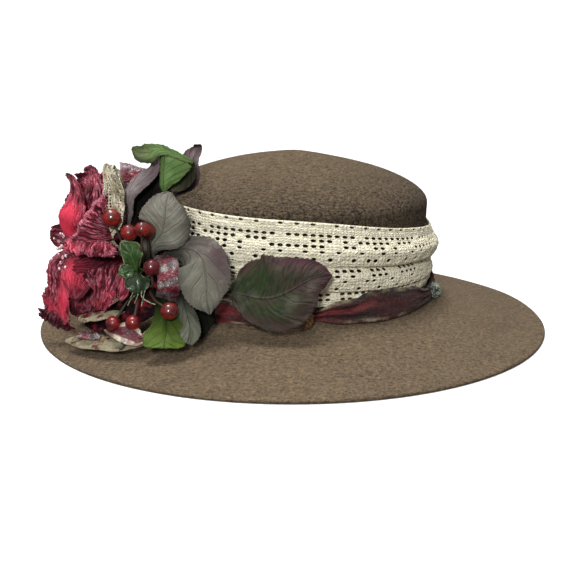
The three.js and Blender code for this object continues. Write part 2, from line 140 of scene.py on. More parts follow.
class HatSizes(bpy.types.PropertyGroup):
    felt: length("Felt", "Thickness of the felt", 2.5)
    rim_along: length("Rim along", "Half the brim's length, front to back", 190.0)
    rim_across: length("Rim across", "Half the brim's width", 172.0)
    crown_along: length("Crown along", "Half the crown's length", 99.5)
    crown_across: length("Crown across", "Half the crown's width", 85.5)
    lace: length("Lace", "Thickness of the crochet", 1.1)
    ribbon: length("Ribbon", "Thickness of the ribbon", 0.9)
    silk: length("Silk", "Thickness of petals and leaves", 0.7)
    stem: length("Stem", "Half thickness of a berry's stem", 0.8)


class HatColours(bpy.types.PropertyGroup):
    felt: colour("Felt", "Fur felt", 113, 96, 75)
    lace: colour("Lace", "Cotton of the crochet", 248, 242, 218)
    # Painted shade: the colour that the lace takes between its stitches.
    lace_stitch_shade: colour("Lace hollows", "Between the stitches", 184, 166, 112)
    maroon: colour("Maroon", "Ground of the tartan", 92, 26, 34)
    crimson: colour("Crimson", "Bright bands of the tartan", 158, 30, 46)
    slate: colour("Slate", "Dark green bands of the tartan", 46, 50, 48)
    cream: colour("Cream", "Pale lines of the tartan", 205, 198, 170)
    gold: colour("Gold", "Metallic thread in the ribbon's edge", 190, 160, 96)
    petal: colour("Petal", "Crumpled silk", 176, 58, 78)
    petal_bright: colour("Petal face", "Smooth silk inside the bloom", 230, 62, 88)
    # Painted highlight: the light colour laid on the crests of the crumpled silk.
    petal_crest_highlight: colour("Petal crests", "Dusty crests of the crumpled silk", 232, 146, 164)
    # Dark silk at the tips, darker at the root, and painted shade in the petals' folds, valleys and dark
    # spots.
    petal_dark_and_shade: colour("Petal shade", "Dark silk in the tips and hollows", 46, 8, 18)
    glossy: colour("Glossy leaf", "Waxed leaf", 34, 62, 22)
    berry: colour("Berry", "Lacquered berry", 150, 26, 18)
    stem: colour("Stem", "Paper-bound wire", 74, 40, 36)
    tendril: colour("Tendril", "Green wire", 166, 178, 138)
    pearl: colour("Pearl", "Tips of the stamens", 236, 214, 214)
    knot: colour("Knot", "Brown and gold ribbon", 122, 88, 56)


def sizes():
    return bpy.context.scene.hat_sizes


def colours():
    return bpy.context.scene.hat_colours


def shade(name):
    """One of the panel's colours, with its alpha."""
    return (*getattr(colours(), name), 1.0)


TINTS = {  # linear colours that the panel's colours are mixed with
    "lace yellowed": (0.72, 0.64, 0.36),
    # painted shade: brown mottling for the loop of lace
    "lace shade mottle": (0.27, 0.22, 0.12),
    # painted shade for the ribbon's side turned from the light
    "tartan side shade": (0.050, 0.010, 0.018),
    # painted shade along the ribbon's upper part on that side
    "tartan ink": (0.014, 0.020, 0.017),
    "tartan blotch": (0.035, 0.012, 0.014),
    "tartan dulled": (0.06, 0.018, 0.024),
    "lining shade": (0.006, 0.002, 0.003),
    "lining lit": (0.17, 0.010, 0.018),
    "lurex stained": (0.05, 0.015, 0.02),
    "lurex glint": (0.85, 0.80, 0.74),
    # painted shade in the creases of leaves
    "leaf crease shade": (0.02, 0.024, 0.02),
    "leaf pile": (0.03, 0.03, 0.028),
    "leaf shade": (0.003, 0.003, 0.002),
    "wax lit": (0.06, 0.125, 0.03),
    "wax vein": (0.16, 0.24, 0.09),
    "wax edge": (0.33, 0.36, 0.2),
    "wax shade": (0.006, 0.010, 0.006),
    "wire winding": (0.03, 0.035, 0.015),
    "pearl mottle": (0.42, 0.12, 0.16),
    "thread lit": (0.30, 0.10, 0.12),
    "thread shade": (0.05, 0.01, 0.02),
    "knot red": (0.10, 0.03, 0.03),
    "plaid green": (0.015, 0.026, 0.02),
    "plaid grey": (0.21, 0.24, 0.185),
    "plaid white": (0.62, 0.62, 0.54),
    "paper": (0.93, 0.93, 0.93),
    "paper shade": (0.90, 0.90, 0.90),
}


def tint(name):
    return (*TINTS[name], 1.0)


# Shaders

class Wire:
    """A value in a material. Arithmetic on it adds Math nodes."""

    def __init__(self, finish, socket):
        self.finish = finish
        self.socket = socket

    def maths(self, operation, *values):
        return self.finish.node("ShaderNodeMath", {"operation": operation}, dict(enumerate(values)))

    def __add__(self, other):
        return self.maths("ADD", self, other)

    def __radd__(self, other):
        return self.maths("ADD", other, self)

    def __sub__(self, other):
        return self.maths("SUBTRACT", self, other)

    def __rsub__(self, other):
        return self.maths("SUBTRACT", other, self)

    def __mul__(self, other):
        return self.maths("MULTIPLY", self, other)

    def __rmul__(self, other):
        return self.maths("MULTIPLY", other, self)

    def __truediv__(self, other):
        return self.maths("DIVIDE", self, other)

    def absolute(self):
        return self.maths("ABSOLUTE", self)

    def sine(self):
        return self.maths("SINE", self)

    def wave(self):
        """0 to 1 and back, once for each whole number."""
        return (self * (2 * math.pi)).sine() * 0.5 + 0.5

    def part(self):
        return self.maths("FRACT", self)

    def least(self, other):
        return self.maths("MINIMUM", self, other)

    def most(self, other):
        return self.maths("MAXIMUM", self, other)

    def ramp(self, low, high):
        """0 below low and 1 above high, smooth between."""
        settings = {"interpolation_type": "SMOOTHSTEP"}
        return self.finish.node("ShaderNodeMapRange", settings, {0: self, 1: low, 2: high})


def set_stops(ramp, stops):
    while len(ramp.elements) < len(stops):
        ramp.elements.new(0.5)
    for element, (place, value) in zip(ramp.elements, stops):
        element.position = place
        element.color = value


class Finish:
    """A material, built by name and by node."""

    def __init__(self, name):
        self.material = bpy.data.materials.new(name)
        self.material.use_nodes = True
        self.tree = self.material.node_tree
        self.shader = self.tree.nodes["Principled BSDF"]

    def node(self, kind, settings=None, inputs=None, output=0):
        """A node with its settings, its inputs by name or number, and one output."""
        made = self.tree.nodes.new(kind)
        for key, value in (settings or {}).items():
            if key == "stops":
                set_stops(made.color_ramp, value)
            else:
                setattr(made, key, value)
        self.feed(made, inputs or {})
        return Wire(self, made.outputs[output])

    def feed(self, node, inputs):
        for key, value in inputs.items():
            if isinstance(value, Wire):
                self.tree.links.new(value.socket, node.inputs[key])
            else:
                node.inputs[key].default_value = value

    def place(self):
        return self.node("ShaderNodeTexCoord", output="Object")

    def stretched(self, scale):
        """The place on the object, scaled."""
        return self.node("ShaderNodeMapping", None, {"Vector": self.place(), "Scale": scale})

    def uv(self):
        """Across and along, from the piece's own map."""
        where = self.node("ShaderNodeUVMap", {"uv_map": "UVMap"})
        return [self.node("ShaderNodeSeparateXYZ", None, {0: where}, k) for k in (0, 1)]

    def tone(self):
        """The red, green, blue and alpha of the piece's painted masks."""
        painted = self.node("ShaderNodeAttribute", {"attribute_name": "tone"}, None, "Color")
        parts = [self.node("ShaderNodeSeparateColor", None, {0: painted}, k) for k in range(3)]
        parts.append(self.node("ShaderNodeAttribute", {"attribute_name": "tone"}, None, "Alpha"))
        return parts

    def on_map(self, scale):
        """The place on the piece's own map, scaled."""
        where = self.node("ShaderNodeUVMap", {"uv_map": "UVMap"})
        return self.node("ShaderNodeMapping", None, {"Vector": where, "Scale": scale})

    def specks(self, scale, detail=3.0, rough=0.55, vector=None, bend=0.0):
        inputs = {"Vector": vector or self.place(), "Scale": scale, "Detail": detail,
                  "Roughness": rough, "Distortion": bend}
        return self.node("ShaderNodeTexNoise", None, inputs)

    def cells(self, scale):
        inputs = {"Vector": self.place(), "Scale": scale}
        return self.node("ShaderNodeTexVoronoi", None, inputs, "Distance")

    def mix(self, factor, first, second, mode="MIX"):
        settings = {"data_type": "RGBA", "blend_type": mode}
        return self.node("ShaderNodeMix", settings, {0: factor, 6: first, 7: second}, 2)

    def bump(self, height, deep, strength=1.0):
        """A normal from a height of 0 to 1, deep metres high."""
        inputs = {"Height": height, "Distance": deep, "Strength": strength}
        return self.node("ShaderNodeBump", None, inputs)

    def surface(self, **inputs):
        named = {key.replace("_", " "): value for key, value in inputs.items()}
        self.feed(self.shader, named)
        return self.material


# Meshes

def new_sheet(columns, rows, place, paint=None, chart=None, wrap=False):
    """A grid moved to place(across, along), each 0 to 1, with its map and painted masks."""
    bm = bmesh.new()
    bmesh.ops.create_grid(bm, x_segments=columns, y_segments=rows, size=0.5)
    layer = bm.loops.layers.uv.new("UVMap")
    tone = bm.verts.layers.float_color.new("tone") if paint else None
    for face in bm.faces:
        for corner in face.loops:
            u, v = corner.vert.co.x + 0.5, corner.vert.co.y + 0.5
            corner[layer].uv = chart(u, v) if chart else (u, v)
    for point in bm.verts:
        u, v = point.co.x + 0.5, point.co.y + 0.5
        if paint:
            point[tone] = paint(u, v)
        point.co = place(u, v) * MM
    if wrap:
        bmesh.ops.remove_doubles(bm, verts=bm.verts, dist=1e-6)
        bmesh.ops.dissolve_degenerate(bm, edges=bm.edges, dist=1e-7)
        bmesh.ops.recalc_face_normals(bm, faces=bm.faces)
    return bm


def ball(half, segments, rings):
    """A round ball at the origin, half in millimetres."""
    bm = bmesh.new()
    bmesh.ops.create_uvsphere(bm, u_segments=segments, v_segments=rings, radius=half * MM)
    return bm


def moved(bm, at):
    bmesh.ops.translate(bm, vec=Vector(at) * MM, verts=bm.verts)
    return bm


CAP = 0.03  # the share of a tube's rows that rounds each end


def tube(points, half, sides=10, steps=24):
    """A closed tube along points, half thick, with rounded ends."""
    up = Vector((0.3, 0.2, 1.0))

    def place(u, v):
        t = min(max((v - CAP) / (1 - 2 * CAP), 0.0), 1.0)
        here = Vector(spline(points, t))
        step = 0.01
        ahead = Vector(spline(points, min(t + step, 1.0))) - Vector(spline(points, max(t - step, 0.0)))
        side = ahead.cross(up).normalized()
        other = ahead.cross(side).normalized()
        radius = half(t) if callable(half) else half
        radius *= smooth(-0.001, 0.02, v) * smooth(-0.001, 0.02, 1.0 - v)
        if v in (0.0, 1.0):
            radius = 0.0
        return here + radius * ring(2 * math.pi * u, side, other)

    return new_sheet(sides, steps, place, wrap=True)


def joined(parts):
    """Several meshes as one. Each part is a mesh and the number of its material."""
    whole = bmesh.new()
    for part, number in parts:
        for face in part.faces:
            face.material_index = number
        scratch = bpy.data.meshes.new("part")
        part.to_mesh(scratch)
        part.free()
        whole.from_mesh(scratch)
        bpy.data.meshes.remove(scratch)
    return whole


def new_object(name, bm, finishes):
    """Links an object made from the mesh, which is then freed."""
    mesh = bpy.data.meshes.new(name)
    bm.to_mesh(mesh)
    bm.free()
    for finish in finishes:
        mesh.materials.append(finish)
    made = bpy.data.objects.new(name, mesh)
    bpy.context.scene.collection.objects.link(made)
    return made


def add_piece(name, bm, finishes, nodes, slot, wall=0.0, levels=0, backs=False):
    """Makes the piece from its mesh, gives it its wall, hangs it under the root body and hides the parts
    that it replaces.
    """
    piece = new_object(name, bm, finishes)
    piece.data.shade_smooth()
    if wall:
        skin = piece.modifiers.new("Wall", "SOLIDIFY")
        skin.thickness = wall
        skin.offset = 0.0
        skin.use_even_offset = False
        if backs:
            skin.material_offset = 1
            skin.material_offset_rim = 1
    if levels:
        fine = piece.modifiers.new("Fine", "SUBSURF")
        fine.levels = fine.render_levels = levels
    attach(piece, "root")
    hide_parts(*nodes)
    return piece


# Felt

WAIST = 1.8
WAIST_AT = (48, 30)  # height, spread
FOOT_FLARE = 1.4
FOOT_HEIGHTS = (20, 34)
WALL_TOP = 92.5
WALL_FOOT = 31.0
SHOULDER = 19.0
SHOULDER_ROUND = 2.8
DOME = 18.0
DOME_ROUND = 1.25
BRIM_START = 0.012
BRIM_FALL = 19.5
BRIM_CURVE = 1.08
BRIM_ROLL = (6.0, 0.035)  # height, spread
BRIM_ENDS = (0.988, 0.95)  # outside, inside
RIM_EDGE = ((0.7, 0.98), (0.25, 0.86), (0.0, 0.6), (0.0, 0.35), (0.2, 0.1), (0.6, 0.0))  # in, up
REST_WIDTH = 3.5
CROWN_TILT = -0.02
TOP_RINGS, WALL_RINGS, BRIM_RINGS = 26, 16, 29
HOOD_COLUMNS = 144
BRIM_SWAY = 0.9
CROWN_DENTS = (0.35, 26)  # depth, size


def half_sizes(which):
    along = getattr(sizes(), f"{which}_along") / MM
    across = getattr(sizes(), f"{which}_across") / MM
    return along, across


def wall_half(half, z):
    """Half the crown's size at a height: drawn in at the waist, spreading at the foot."""
    at, spread = WAIST_AT
    return half - WAIST * hill(z - at, spread) + FOOT_FLARE * (1 - smooth(*FOOT_HEIGHTS, z))


def crown_top(share):
    """The crown's height at a share of the way out from its middle."""
    round_over = max(0.0, 1 - share ** SHOULDER_ROUND) ** (1 / SHOULDER_ROUND)
    return WALL_TOP + SHOULDER * round_over + DOME * (1 - share ** DOME_ROUND)


def hood_rings():
    """The hood's section from its top over the rim to its top inside: (along, across, up)."""
    felt = sizes().felt / MM
    crown, rim = half_sizes("crown"), half_sizes("rim")
    rings = []

    def top(inset):
        shares = [math.sin(0.5 * math.pi * k / TOP_RINGS) ** 0.9 for k in range(TOP_RINGS)]
        return [(*((c - inset) * share for c in crown), crown_top(share) - inset) for share in shares]

    def wall(inset):
        step = (WALL_TOP - WALL_FOOT) / WALL_RINGS
        heights = [WALL_TOP - 0.6 * inset - k * step for k in range(WALL_RINGS + 1)]
        return [(*(wall_half(c, z) - inset for c in crown), z) for z in heights]

    def brim(inset, end):
        made = []
        roll, spread = BRIM_ROLL
        for k in range(BRIM_RINGS + 1):
            s = BRIM_START + (end - BRIM_START) * (k / BRIM_RINGS) ** 1.25
            flat = [lerp(c + 1.5, r, s) - inset * 0.3 * (1 - s) for c, r in zip(crown, rim)]
            made.append((*flat, felt + BRIM_FALL * (1 - s) ** BRIM_CURVE + roll * hill(s, spread) - inset))
        return made

    rings += top(0) + wall(0) + brim(0, BRIM_ENDS[0])
    rings += [(rim[0] - out, rim[1] - out, felt * up) for out, up in RIM_EDGE]
    rings.append((rim[0] - REST_WIDTH, rim[1] - REST_WIDTH, 0.0))
    rings += brim(felt, BRIM_ENDS[1])[::-1] + wall(felt)[::-1] + top(felt)[::-1]
    return rings


def felt_finish():
    """Brushed fur: soft tufts, a little streaked along the brushing, with painted shade on the crown's wall.
    """
    f = Finish("fur felt")
    tufts = f.specks(560, 3.0, 0.75).ramp(0.3, 0.7)
    fur = f.specks(720, 3.0, 0.75, f.stretched((0.4, 0.8, 1.5)), 0.4).ramp(0.3, 0.7)
    cloud = f.specks(24, 4.0, 0.6)
    height = f.node("ShaderNodeSeparateXYZ", None, {0: f.place()}, 2)
    # Painted shade: the felt is darkened on the crown's wall, from about 30 mm up to the crown's shoulder.
    wall_shade = height.ramp(0.030, 0.055) * (1 - height.ramp(0.092, 0.128))
    tone = 1 + 0.8 * (tufts - 0.5) + 0.75 * (fur - 0.5) + 0.4 * (cloud - 0.5) - 0.48 * wall_shade
    grey = f.node("ShaderNodeCombineColor", None, {0: tone, 1: tone * 0.99, 2: tone * 0.95})
    base = f.mix(1.0, shade("felt"), grey, "MULTIPLY")
    normal = f.bump(0.6 * fur + 0.8 * tufts, 0.0012, 1.0)
    return f.surface(Base_Color=base, Roughness=0.92 + 0.06 * tufts, Normal=normal, Sheen_Weight=0.06,
                     Sheen_Roughness=0.5, Specular_IOR_Level=0.15)


def make_hood():
    rings = hood_rings()

    def place(u, v):
        along, across, up = spline(rings, v)
        angle = 2 * math.pi * u
        x, y = along * math.cos(angle), across * math.sin(angle)
        brim = smooth(115, 180, abs(along)) * smooth(0.4, 2.4, up)
        sway = brim * (BRIM_SWAY * grain(2.4 * math.cos(angle), 2.4 * math.sin(angle), 3) - 0.2)
        deep, wide = CROWN_DENTS
        soft = deep * grain(x / wide, y / wide, 5) * smooth(60, 90, up)
        return Vector((x, y, up + CROWN_TILT * x * smooth(60, 110, up) + sway + soft))

    bm = new_sheet(HOOD_COLUMNS, 3 * (len(rings) - 1) // 2, place, wrap=True)
    add_piece("hood_of_felt", bm, [felt_finish()], ["felt_hood"], "felt_brown")


# Bands: angles are in degrees, 180 at the hat's front, 270 at its left side and 0 at its back

def on_wall(degrees, z, off):
    along, across = half_sizes("crown")
    a = math.radians(degrees)
    return Vector(((wall_half(along, z) + off) * math.cos(a),
                   (wall_half(across, z) + off) * math.sin(a), z))


LACE_CELLS = (120, 17)
LACE_CUT = (0.6, 0.0585)
LACE_FOOT = 35.0
LACE_HEAD = 91.5
LACE_SLOPE = -0.115
LACE_STAND = 0.5
LACE_BILLOW = 1.6
LACE_RAISED = 0.35  # of a closed cell's lift
LACE_SCALLOP = 0.45
LACE_WAVES = ((0.6, 3, 2, 3), (0.35, 14, 5, 9))  # height, number round, seed, change upwards
LACE_RISES = ((281, 32, 4.2), (0, 22, -3.5))  # at, spread, up
LACE_FOLDS = [  # at, spread, level, height, off
    (350, 75, 0.70, 0.16, 4.6),
    (350, 60, 0.38, 0.08, -0.8),
    (345, 60, 0.18, 0.12, 3.2),
    (268, 40, 0.45, 0.12, 3.0),
    (225, 35, 0.62, 0.14, 2.4),
    (150, 60, 0.50, 0.15, 3.4),
    (75, 55, 0.60, 0.15, 3.0),
    (60, 50, 0.25, 0.10, 1.8),
    (310, 50, 0.66, 0.09, 2.4),
    (310, 50, 0.485, 0.045, -3.8),
    (310, 45, 0.34, 0.08, 3.2),
    (310, 45, 0.17, 0.05, -3.2),
    (215, 40, 0.52, 0.05, -1.8),
    (140, 50, 0.40, 0.05, -2.0),
    (70, 50, 0.46, 0.05, -2.2),
]
LACE_SAGS = [  # at, spread, level, height, down
    (312, 60, 0.58, 0.05, 3.8),
    (312, 55, 0.25, 0.045, 3.4),
    (215, 45, 0.56, 0.05, 2.0),
    (140, 50, 0.45, 0.05, 2.4),
    (70, 50, 0.52, 0.05, 2.4),
]
LACE_CHART = """
.-.-.-..-.-.-..-.-.-
....................
oooooooo.ooooooooo.o
ooo.ooo.....ooo.o.oo
oo.o...ooooooo..oo..
.o.-..-.-..-.-.-..-.
-.-,.-.-.,-.-.-.,-.-
-.-..-.-.-..-.-.-.-.
,,,.,,.,,,.,,,,.,,,.
ooo..oooo..o.o.oooo.
ooo..oooo....o.o.o..
-.,-.,.-.,-..-,.-.,-
.-..-..-..-.-..-..-.
....................
ooo.oooo.oo.ooo.oooo
.oo.oo..ooo..oo.oo..
..o..o...o..o..o..o.
""".split()


def folds(rows, degrees, level):
    """The sum of some soft folds at a place on the lace."""
    total = 0.0
    for at, spread, where, height, amount in rows:
        total += amount * hill(turn_between(degrees, at), spread) * hill(level - where, height)
    return total


def lace_off(degrees, level):
    """How far the lace stands off the felt."""
    billow = LACE_BILLOW * (1 + math.sin(math.pi * level))
    return LACE_STAND + max(billow + folds(LACE_FOLDS, degrees, level), 0.0)


def lace_head(degrees):
    """The lace's upper edge falls towards the back, rides up on the left and dips at the back."""
    along, _ = half_sizes("crown")
    head = LACE_HEAD + LACE_SLOPE * along * math.cos(math.radians(degrees))
    for at, spread, up in LACE_RISES:
        head += up * hill(turn_between(degrees, at), spread)
    return head


def lace_finish(name="crochet cotton", mottled_shade=0.0):
    """Cotton stitches: posts across each row and a chain between rows, with painted shade between the
    stitches.
    """
    f = Finish(name)
    u, v = f.uv()
    wander = f.specks(260, 2.0, 0.5) * 0.9
    post = ((u + wander) * 2.0).wave()
    chain = ((v + wander) * 2.0).wave()
    twist = f.specks(1100, 3.0, 0.65, bend=0.8)
    stitch = 0.75 * post * chain + 0.75 * twist
    patch = f.specks(34, 3.0, 0.5)
    # Painted shade: where the stitch lies low, the lace takes the hollows' colour.
    base = f.mix(stitch.ramp(0.22, 0.46), shade("lace_stitch_shade"), shade("lace"))
    base = f.mix(patch.ramp(0.5, 0.8) * 0.25, base, tint("lace yellowed"))
    # Painted shade: brown mottling over the cotton, used on the loop of lace.
    base = f.mix(f.specks(110, 3.0, 0.6).ramp(0.38, 0.62) * mottled_shade, base, tint("lace shade mottle"))
    normal = f.bump(stitch, 0.0012, 1.0)
    return f.surface(Base_Color=base, Roughness=0.85, Normal=normal, Specular_IOR_Level=0.2)


CELLS = ((".", 0.30, 1.4), (",", 0.25, -1.9), ("o", 0.27, 0), ("-", 0.39, 0))  # mark, margin, lift


def crochet_grid(columns, rows, wide, tall, chart):
    """A flat grid of cells, with its open cells cut out and its closed ones raised."""
    bm = bmesh.new()
    bmesh.ops.create_grid(bm, x_segments=columns, y_segments=rows, size=0.5)
    order = {}
    for face in bm.faces:
        middle = face.calc_center_median()
        column = int((middle.x + 0.5) * columns)
        row = int((0.5 - middle.y) * rows)
        line = chart[row % len(chart)]
        order.setdefault(line[column % len(line)], []).append(face)
    bmesh.ops.scale(bm, vec=(wide, tall, 1), verts=bm.verts)
    cell = min(wide / columns, tall / rows)
    for mark, margin, lift in CELLS:
        faces = order.get(mark, [])
        bmesh.ops.inset_individual(bm, faces=faces, thickness=cell * margin)
        if lift:
            for point in {corner for face in faces for corner in face.verts}:
                point.co.z = lift
        else:
            bmesh.ops.delete(bm, geom=faces, context="FACES")
    bmesh.ops.scale(bm, vec=(1 / wide, 1 / tall, 1), verts=bm.verts)
    return bm


def shape_crochet(bm, place, columns, rows, wrap):
    """Moves a crochet grid to place(across, along, raised)."""
    layer = bm.loops.layers.uv.new("UVMap")
    for face in bm.faces:
        for corner in face.loops:
            co = corner.vert.co
            corner[layer].uv = ((co.x + 0.5) * columns, (co.y + 0.5) * rows)
    for point in bm.verts:
        point.co = place(point.co.x + 0.5, point.co.y + 0.5, point.co.z) * MM
    if wrap:
        bmesh.ops.remove_doubles(bm, verts=bm.verts, dist=1e-6)
    bmesh.ops.recalc_face_normals(bm, faces=bm.faces)
    return bm


def make_lace_band(finish):
    columns, rows = LACE_CELLS
    middle = 0.5 * sizes().lace / MM

    def place(u, v, raised):
        degrees = 360.0 * u
        angle = math.radians(degrees)
        wave = sum(high * grain(many * math.cos(angle), many * math.sin(angle), seed + climb * v)
                   for high, many, seed, climb in LACE_WAVES)
        scallop = LACE_SCALLOP * abs(math.sin(math.pi * columns * u)) * ((v > 0.99) - (v < 0.01))
        off = lace_off(degrees, v) + middle + LACE_RAISED * raised + wave + 0.4
        z = lerp(LACE_FOOT, lace_head(degrees), v) - folds(LACE_SAGS, degrees, v)
        return on_wall(degrees, z + scallop, max(off, middle + 0.5))

    bm = crochet_grid(columns, rows, *LACE_CUT, LACE_CHART)
    shape_crochet(bm, place, columns, rows, True)
    piece = add_piece("lace_band_crochet", bm, [finish], ["lace_band"], "lace_cream", sizes().lace, 1)


RIBBON_SWAGS = [  # at, head, off, puff
    (0, 36, 4.5, 1.5),
    (22, 44, 6.0, 2.5),
    (70, 42, 6.5, 2.5),
    (120, 40, 6.5, 2.5),
    (180, 42, 6.5, 2.5),
    (225, 40, 6.0, 2.0),
    (255, 37, 6.0, 2.0),
    (275, 32, 3.0, 0.3),
    (290, 39, 5.5, 2.2),
    (306, 44.5, 6.8, 3.0),
    (322, 41, 6.5, 3.0),
    (338, 34, 5.0, 1.5),
    (348, 31, 3.5, 0.5),
    (360, 36, 4.5, 1.5),
]
BRIM_FOOT = 29.4
RIBBON_STAND = 1.2
RIBBON_CELLS = (420, 26)
RIBBON_LONG = 0.6
OVER_LACE = (29, 34)  # a ribbon's head under the first lies on the felt, over the second on the lace
KNOTS_AT = (275, 348)
PLEATS, PLEAT_DEEP = 2.4, 1.5
PLEAT_REACH = (8, 16)  # degrees from a knot, spread


def swag(degrees):
    angle = degrees % 360.0
    for before, after in zip(RIBBON_SWAGS, RIBBON_SWAGS[1:]):
        if angle <= after[0]:
            break
    share = smooth(0, 1, (angle - before[0]) / (after[0] - before[0]))
    return [lerp(a, b, share) for a, b in zip(before[1:], after[1:])]


def tartan_finish(name="tartan taffeta", lurex_share=0.0):
    """Woven checks, dulled and blotched, with metallic thread along the edges and in specks painted bright
    as glints, and painted shade on the side turned from the light and along its upper part there.
    """
    f = Finish(name)
    u, v = f.uv()
    wander = f.specks(45, 3.0, 0.55)
    along = (u * 1000.0 + wander * 9.0) / 58.0
    across = v * 1.3 + wander * 0.4
    sett = [
        (0.0, shade("crimson")), (0.18, shade("crimson")), (0.32, shade("maroon")),
        (0.46, shade("maroon")), (0.52, shade("slate")), (0.70, shade("slate")),
        (0.80, shade("maroon")), (0.92, shade("maroon")), (1.0, shade("crimson")),
    ]
    warp = f.node("ShaderNodeValToRGB", {"stops": sett}, {0: along.part()})
    weft = f.node("ShaderNodeValToRGB", {"stops": sett}, {0: (across + 0.1).part()})
    twill = (u * 2400.0 + v * 36.0).wave()
    cloth = f.mix(0.35 + 0.3 * twill, warp, weft)
    # Painted shade: the ribbon darkens from about 302 degrees round to the back, the side turned from the
    # light.
    cloth = f.mix(u.ramp(0.504, 0.520) * 0.75, cloth, tint("tartan side shade"))
    # Painted shade along the ribbon's upper part, from about 300 to 327 degrees.
    upper_shade = u.ramp(0.500, 0.512) * (1 - u.ramp(0.530, 0.545)) * v.ramp(0.45, 0.8)
    cloth = f.mix(upper_shade * 0.8, cloth, tint("tartan ink"))
    blotch = f.specks(95, 4.0, 0.65)
    cloth = f.mix(blotch.ramp(0.42, 0.62) * 0.75, cloth, tint("tartan blotch"))
    cloth = f.mix(f.specks(30, 2.0, 0.5).ramp(0.42, 0.6) * 0.55, cloth, tint("tartan dulled"))
    worn = f.specks(50, 3.0, 0.6).ramp(0.44, 0.60)
    edge = ((v - 0.5).absolute().ramp(0.33, 0.42) * worn).most(lurex_share * blotch.ramp(0.38, 0.52))
    glint = f.specks(1500, 2.0, 0.8).ramp(0.46, 0.58)
    metal = f.mix(f.specks(420, 2.0, 0.6).ramp(0.45, 0.7), shade("cream"), shade("gold"))
    solid = lerp(0.35, 0.95, lurex_share ** 2)
    base = f.mix(edge * (solid + (1 - solid) * glint), cloth, metal)
    # Cream specks: pale metallic thread, painted bright as glints.
    base = f.mix(f.specks(1900, 2.0, 0.8).ramp(0.60, 0.66) * 0.6, base, shade("cream"))
    fine = 0.5 * twill + 0.5 * f.specks(1500, 2.0, 0.6)
    crush = f.specks(150, 4.0, 0.6, f.stretched((1, 1, 2)))
    normal = f.bump(0.2 * fine + crush, 0.0036, 0.9)
    return f.surface(Base_Color=base, Roughness=0.28, Metallic=(0.4 - 0.35 * lurex_share) * edge * glint,
                     Normal=normal, Specular_IOR_Level=0.5)


def dim_finish():
    """Maroon ribbon deep in the posy, in painted shade: near black in the hollows of its folds, deep red on
    their tops.
    """
    f = Finish("maroon ribbon, painted shade")
    fold = f.specks(90, 3.0, 0.6)
    base = f.mix(fold.ramp(0.45, 0.62), tint("lining shade"), tint("lining lit"))
    normal = f.bump(fold, 0.003, 0.8)
    return f.surface(Base_Color=base, Roughness=0.7, Normal=normal, Specular_IOR_Level=0.1)


# The flecks are painted glints: near-white specks laid over the cloth.
LUREX_COLOURS = {  # silver, mauve, red, flecks
    "bands": ((0.22, 0.19, 0.18, 1), (0.08, 0.045, 0.055, 1), (0.17, 0.015, 0.028, 1), 0.7),
    "halves": ((0.36, 0.26, 0.27, 1), (0.17, 0.07, 0.10, 1), (0.42, 0.04, 0.06, 1), 0.8),
    "panel": ((0.62, 0.56, 0.44, 1), (0.30, 0.17, 0.13, 1), (0.09, 0.008, 0.016, 1), 0.3),
}


def lurex_finish(name, look):
    """Lurex ribbon: red and silvery cloth in bands, halves or a bordered panel, with glints."""
    f = Finish(name)
    u, v = f.uv()
    wander = f.specks(70, 3.0, 0.6)
    if look == "bands":
        share = (u * 1000.0 / 36.0 + wander * 1.8).wave().ramp(0.35, 0.65)
    elif look == "halves":
        share = (v + wander * 0.3).ramp(0.62, 0.72)
    else:
        share = 1 - ((v - 0.5).absolute() + wander * 0.1).ramp(0.26, 0.36)
    silver, mauve, red, sparkle = LUREX_COLOURS[look]
    blotch = f.specks(170, 3.0, 0.6)
    base = f.mix(share, f.mix(blotch.ramp(0.35, 0.6), silver, mauve), red)
    base = f.mix(f.specks(110, 3.0, 0.6).ramp(0.5, 0.66) * 0.8, base, tint("lurex stained"))
    glint = f.specks(1200, 2.0, 0.8)
    flecks = glint.ramp(0.54, 0.62) * f.specks(240, 2.0, 0.6).ramp(0.42, 0.58)
    # Painted glints: near-white flecks over the cloth.
    base = f.mix(flecks * sparkle * (1 - 0.5 * share), base, tint("lurex glint"))
    fine = 0.5 * glint + 1.2 * f.specks(150, 4.0, 0.6)
    return f.surface(Base_Color=base, Roughness=0.35, Metallic=0.3 * glint, Normal=f.bump(fine, 0.0016, 0.8))


def make_ribbon_band(finish):
    middle = 0.5 * sizes().ribbon / MM
    lace = sizes().lace / MM

    def place(u, v):
        degrees = 360.0 * u
        head, off, puff = swag(degrees)
        over = lerp(RIBBON_STAND, lace_off(degrees, 0.15) + lace + 0.9, smooth(*OVER_LACE, head))
        lift = 1.5 * grain(20 * u + 1.5 * v, 2.6 * v, 4) + 1.0 * grain(46 * u - 2 * v, 5.0 * v, 9)
        out = lerp(off, over, v) + puff * math.sin(math.pi * v) + lift * math.sin(math.pi * v) ** 0.5
        knot = min(abs(turn_between(degrees, at)) for at in KNOTS_AT)
        pleat = math.sin(2 * math.pi * (PLEATS * v + 0.35 * grain(u * 20, 0, 1)))
        out += PLEAT_DEEP * pleat * hill(knot - PLEAT_REACH[0], PLEAT_REACH[1])
        return on_wall(degrees, lerp(BRIM_FOOT - off, head, v), out + middle)

    bm = new_sheet(*RIBBON_CELLS, place, chart=lambda u, v: (RIBBON_LONG * u, v), wrap=True)
    piece = add_piece("ribbon_band_tartan", bm, [finish], ["ribbon_band"], "ribbon_tartan", sizes().ribbon)


# Blades: sheets along a line. A station is (x, y, z, left half, right half), seen with the
# face towards the eye and the line running up.

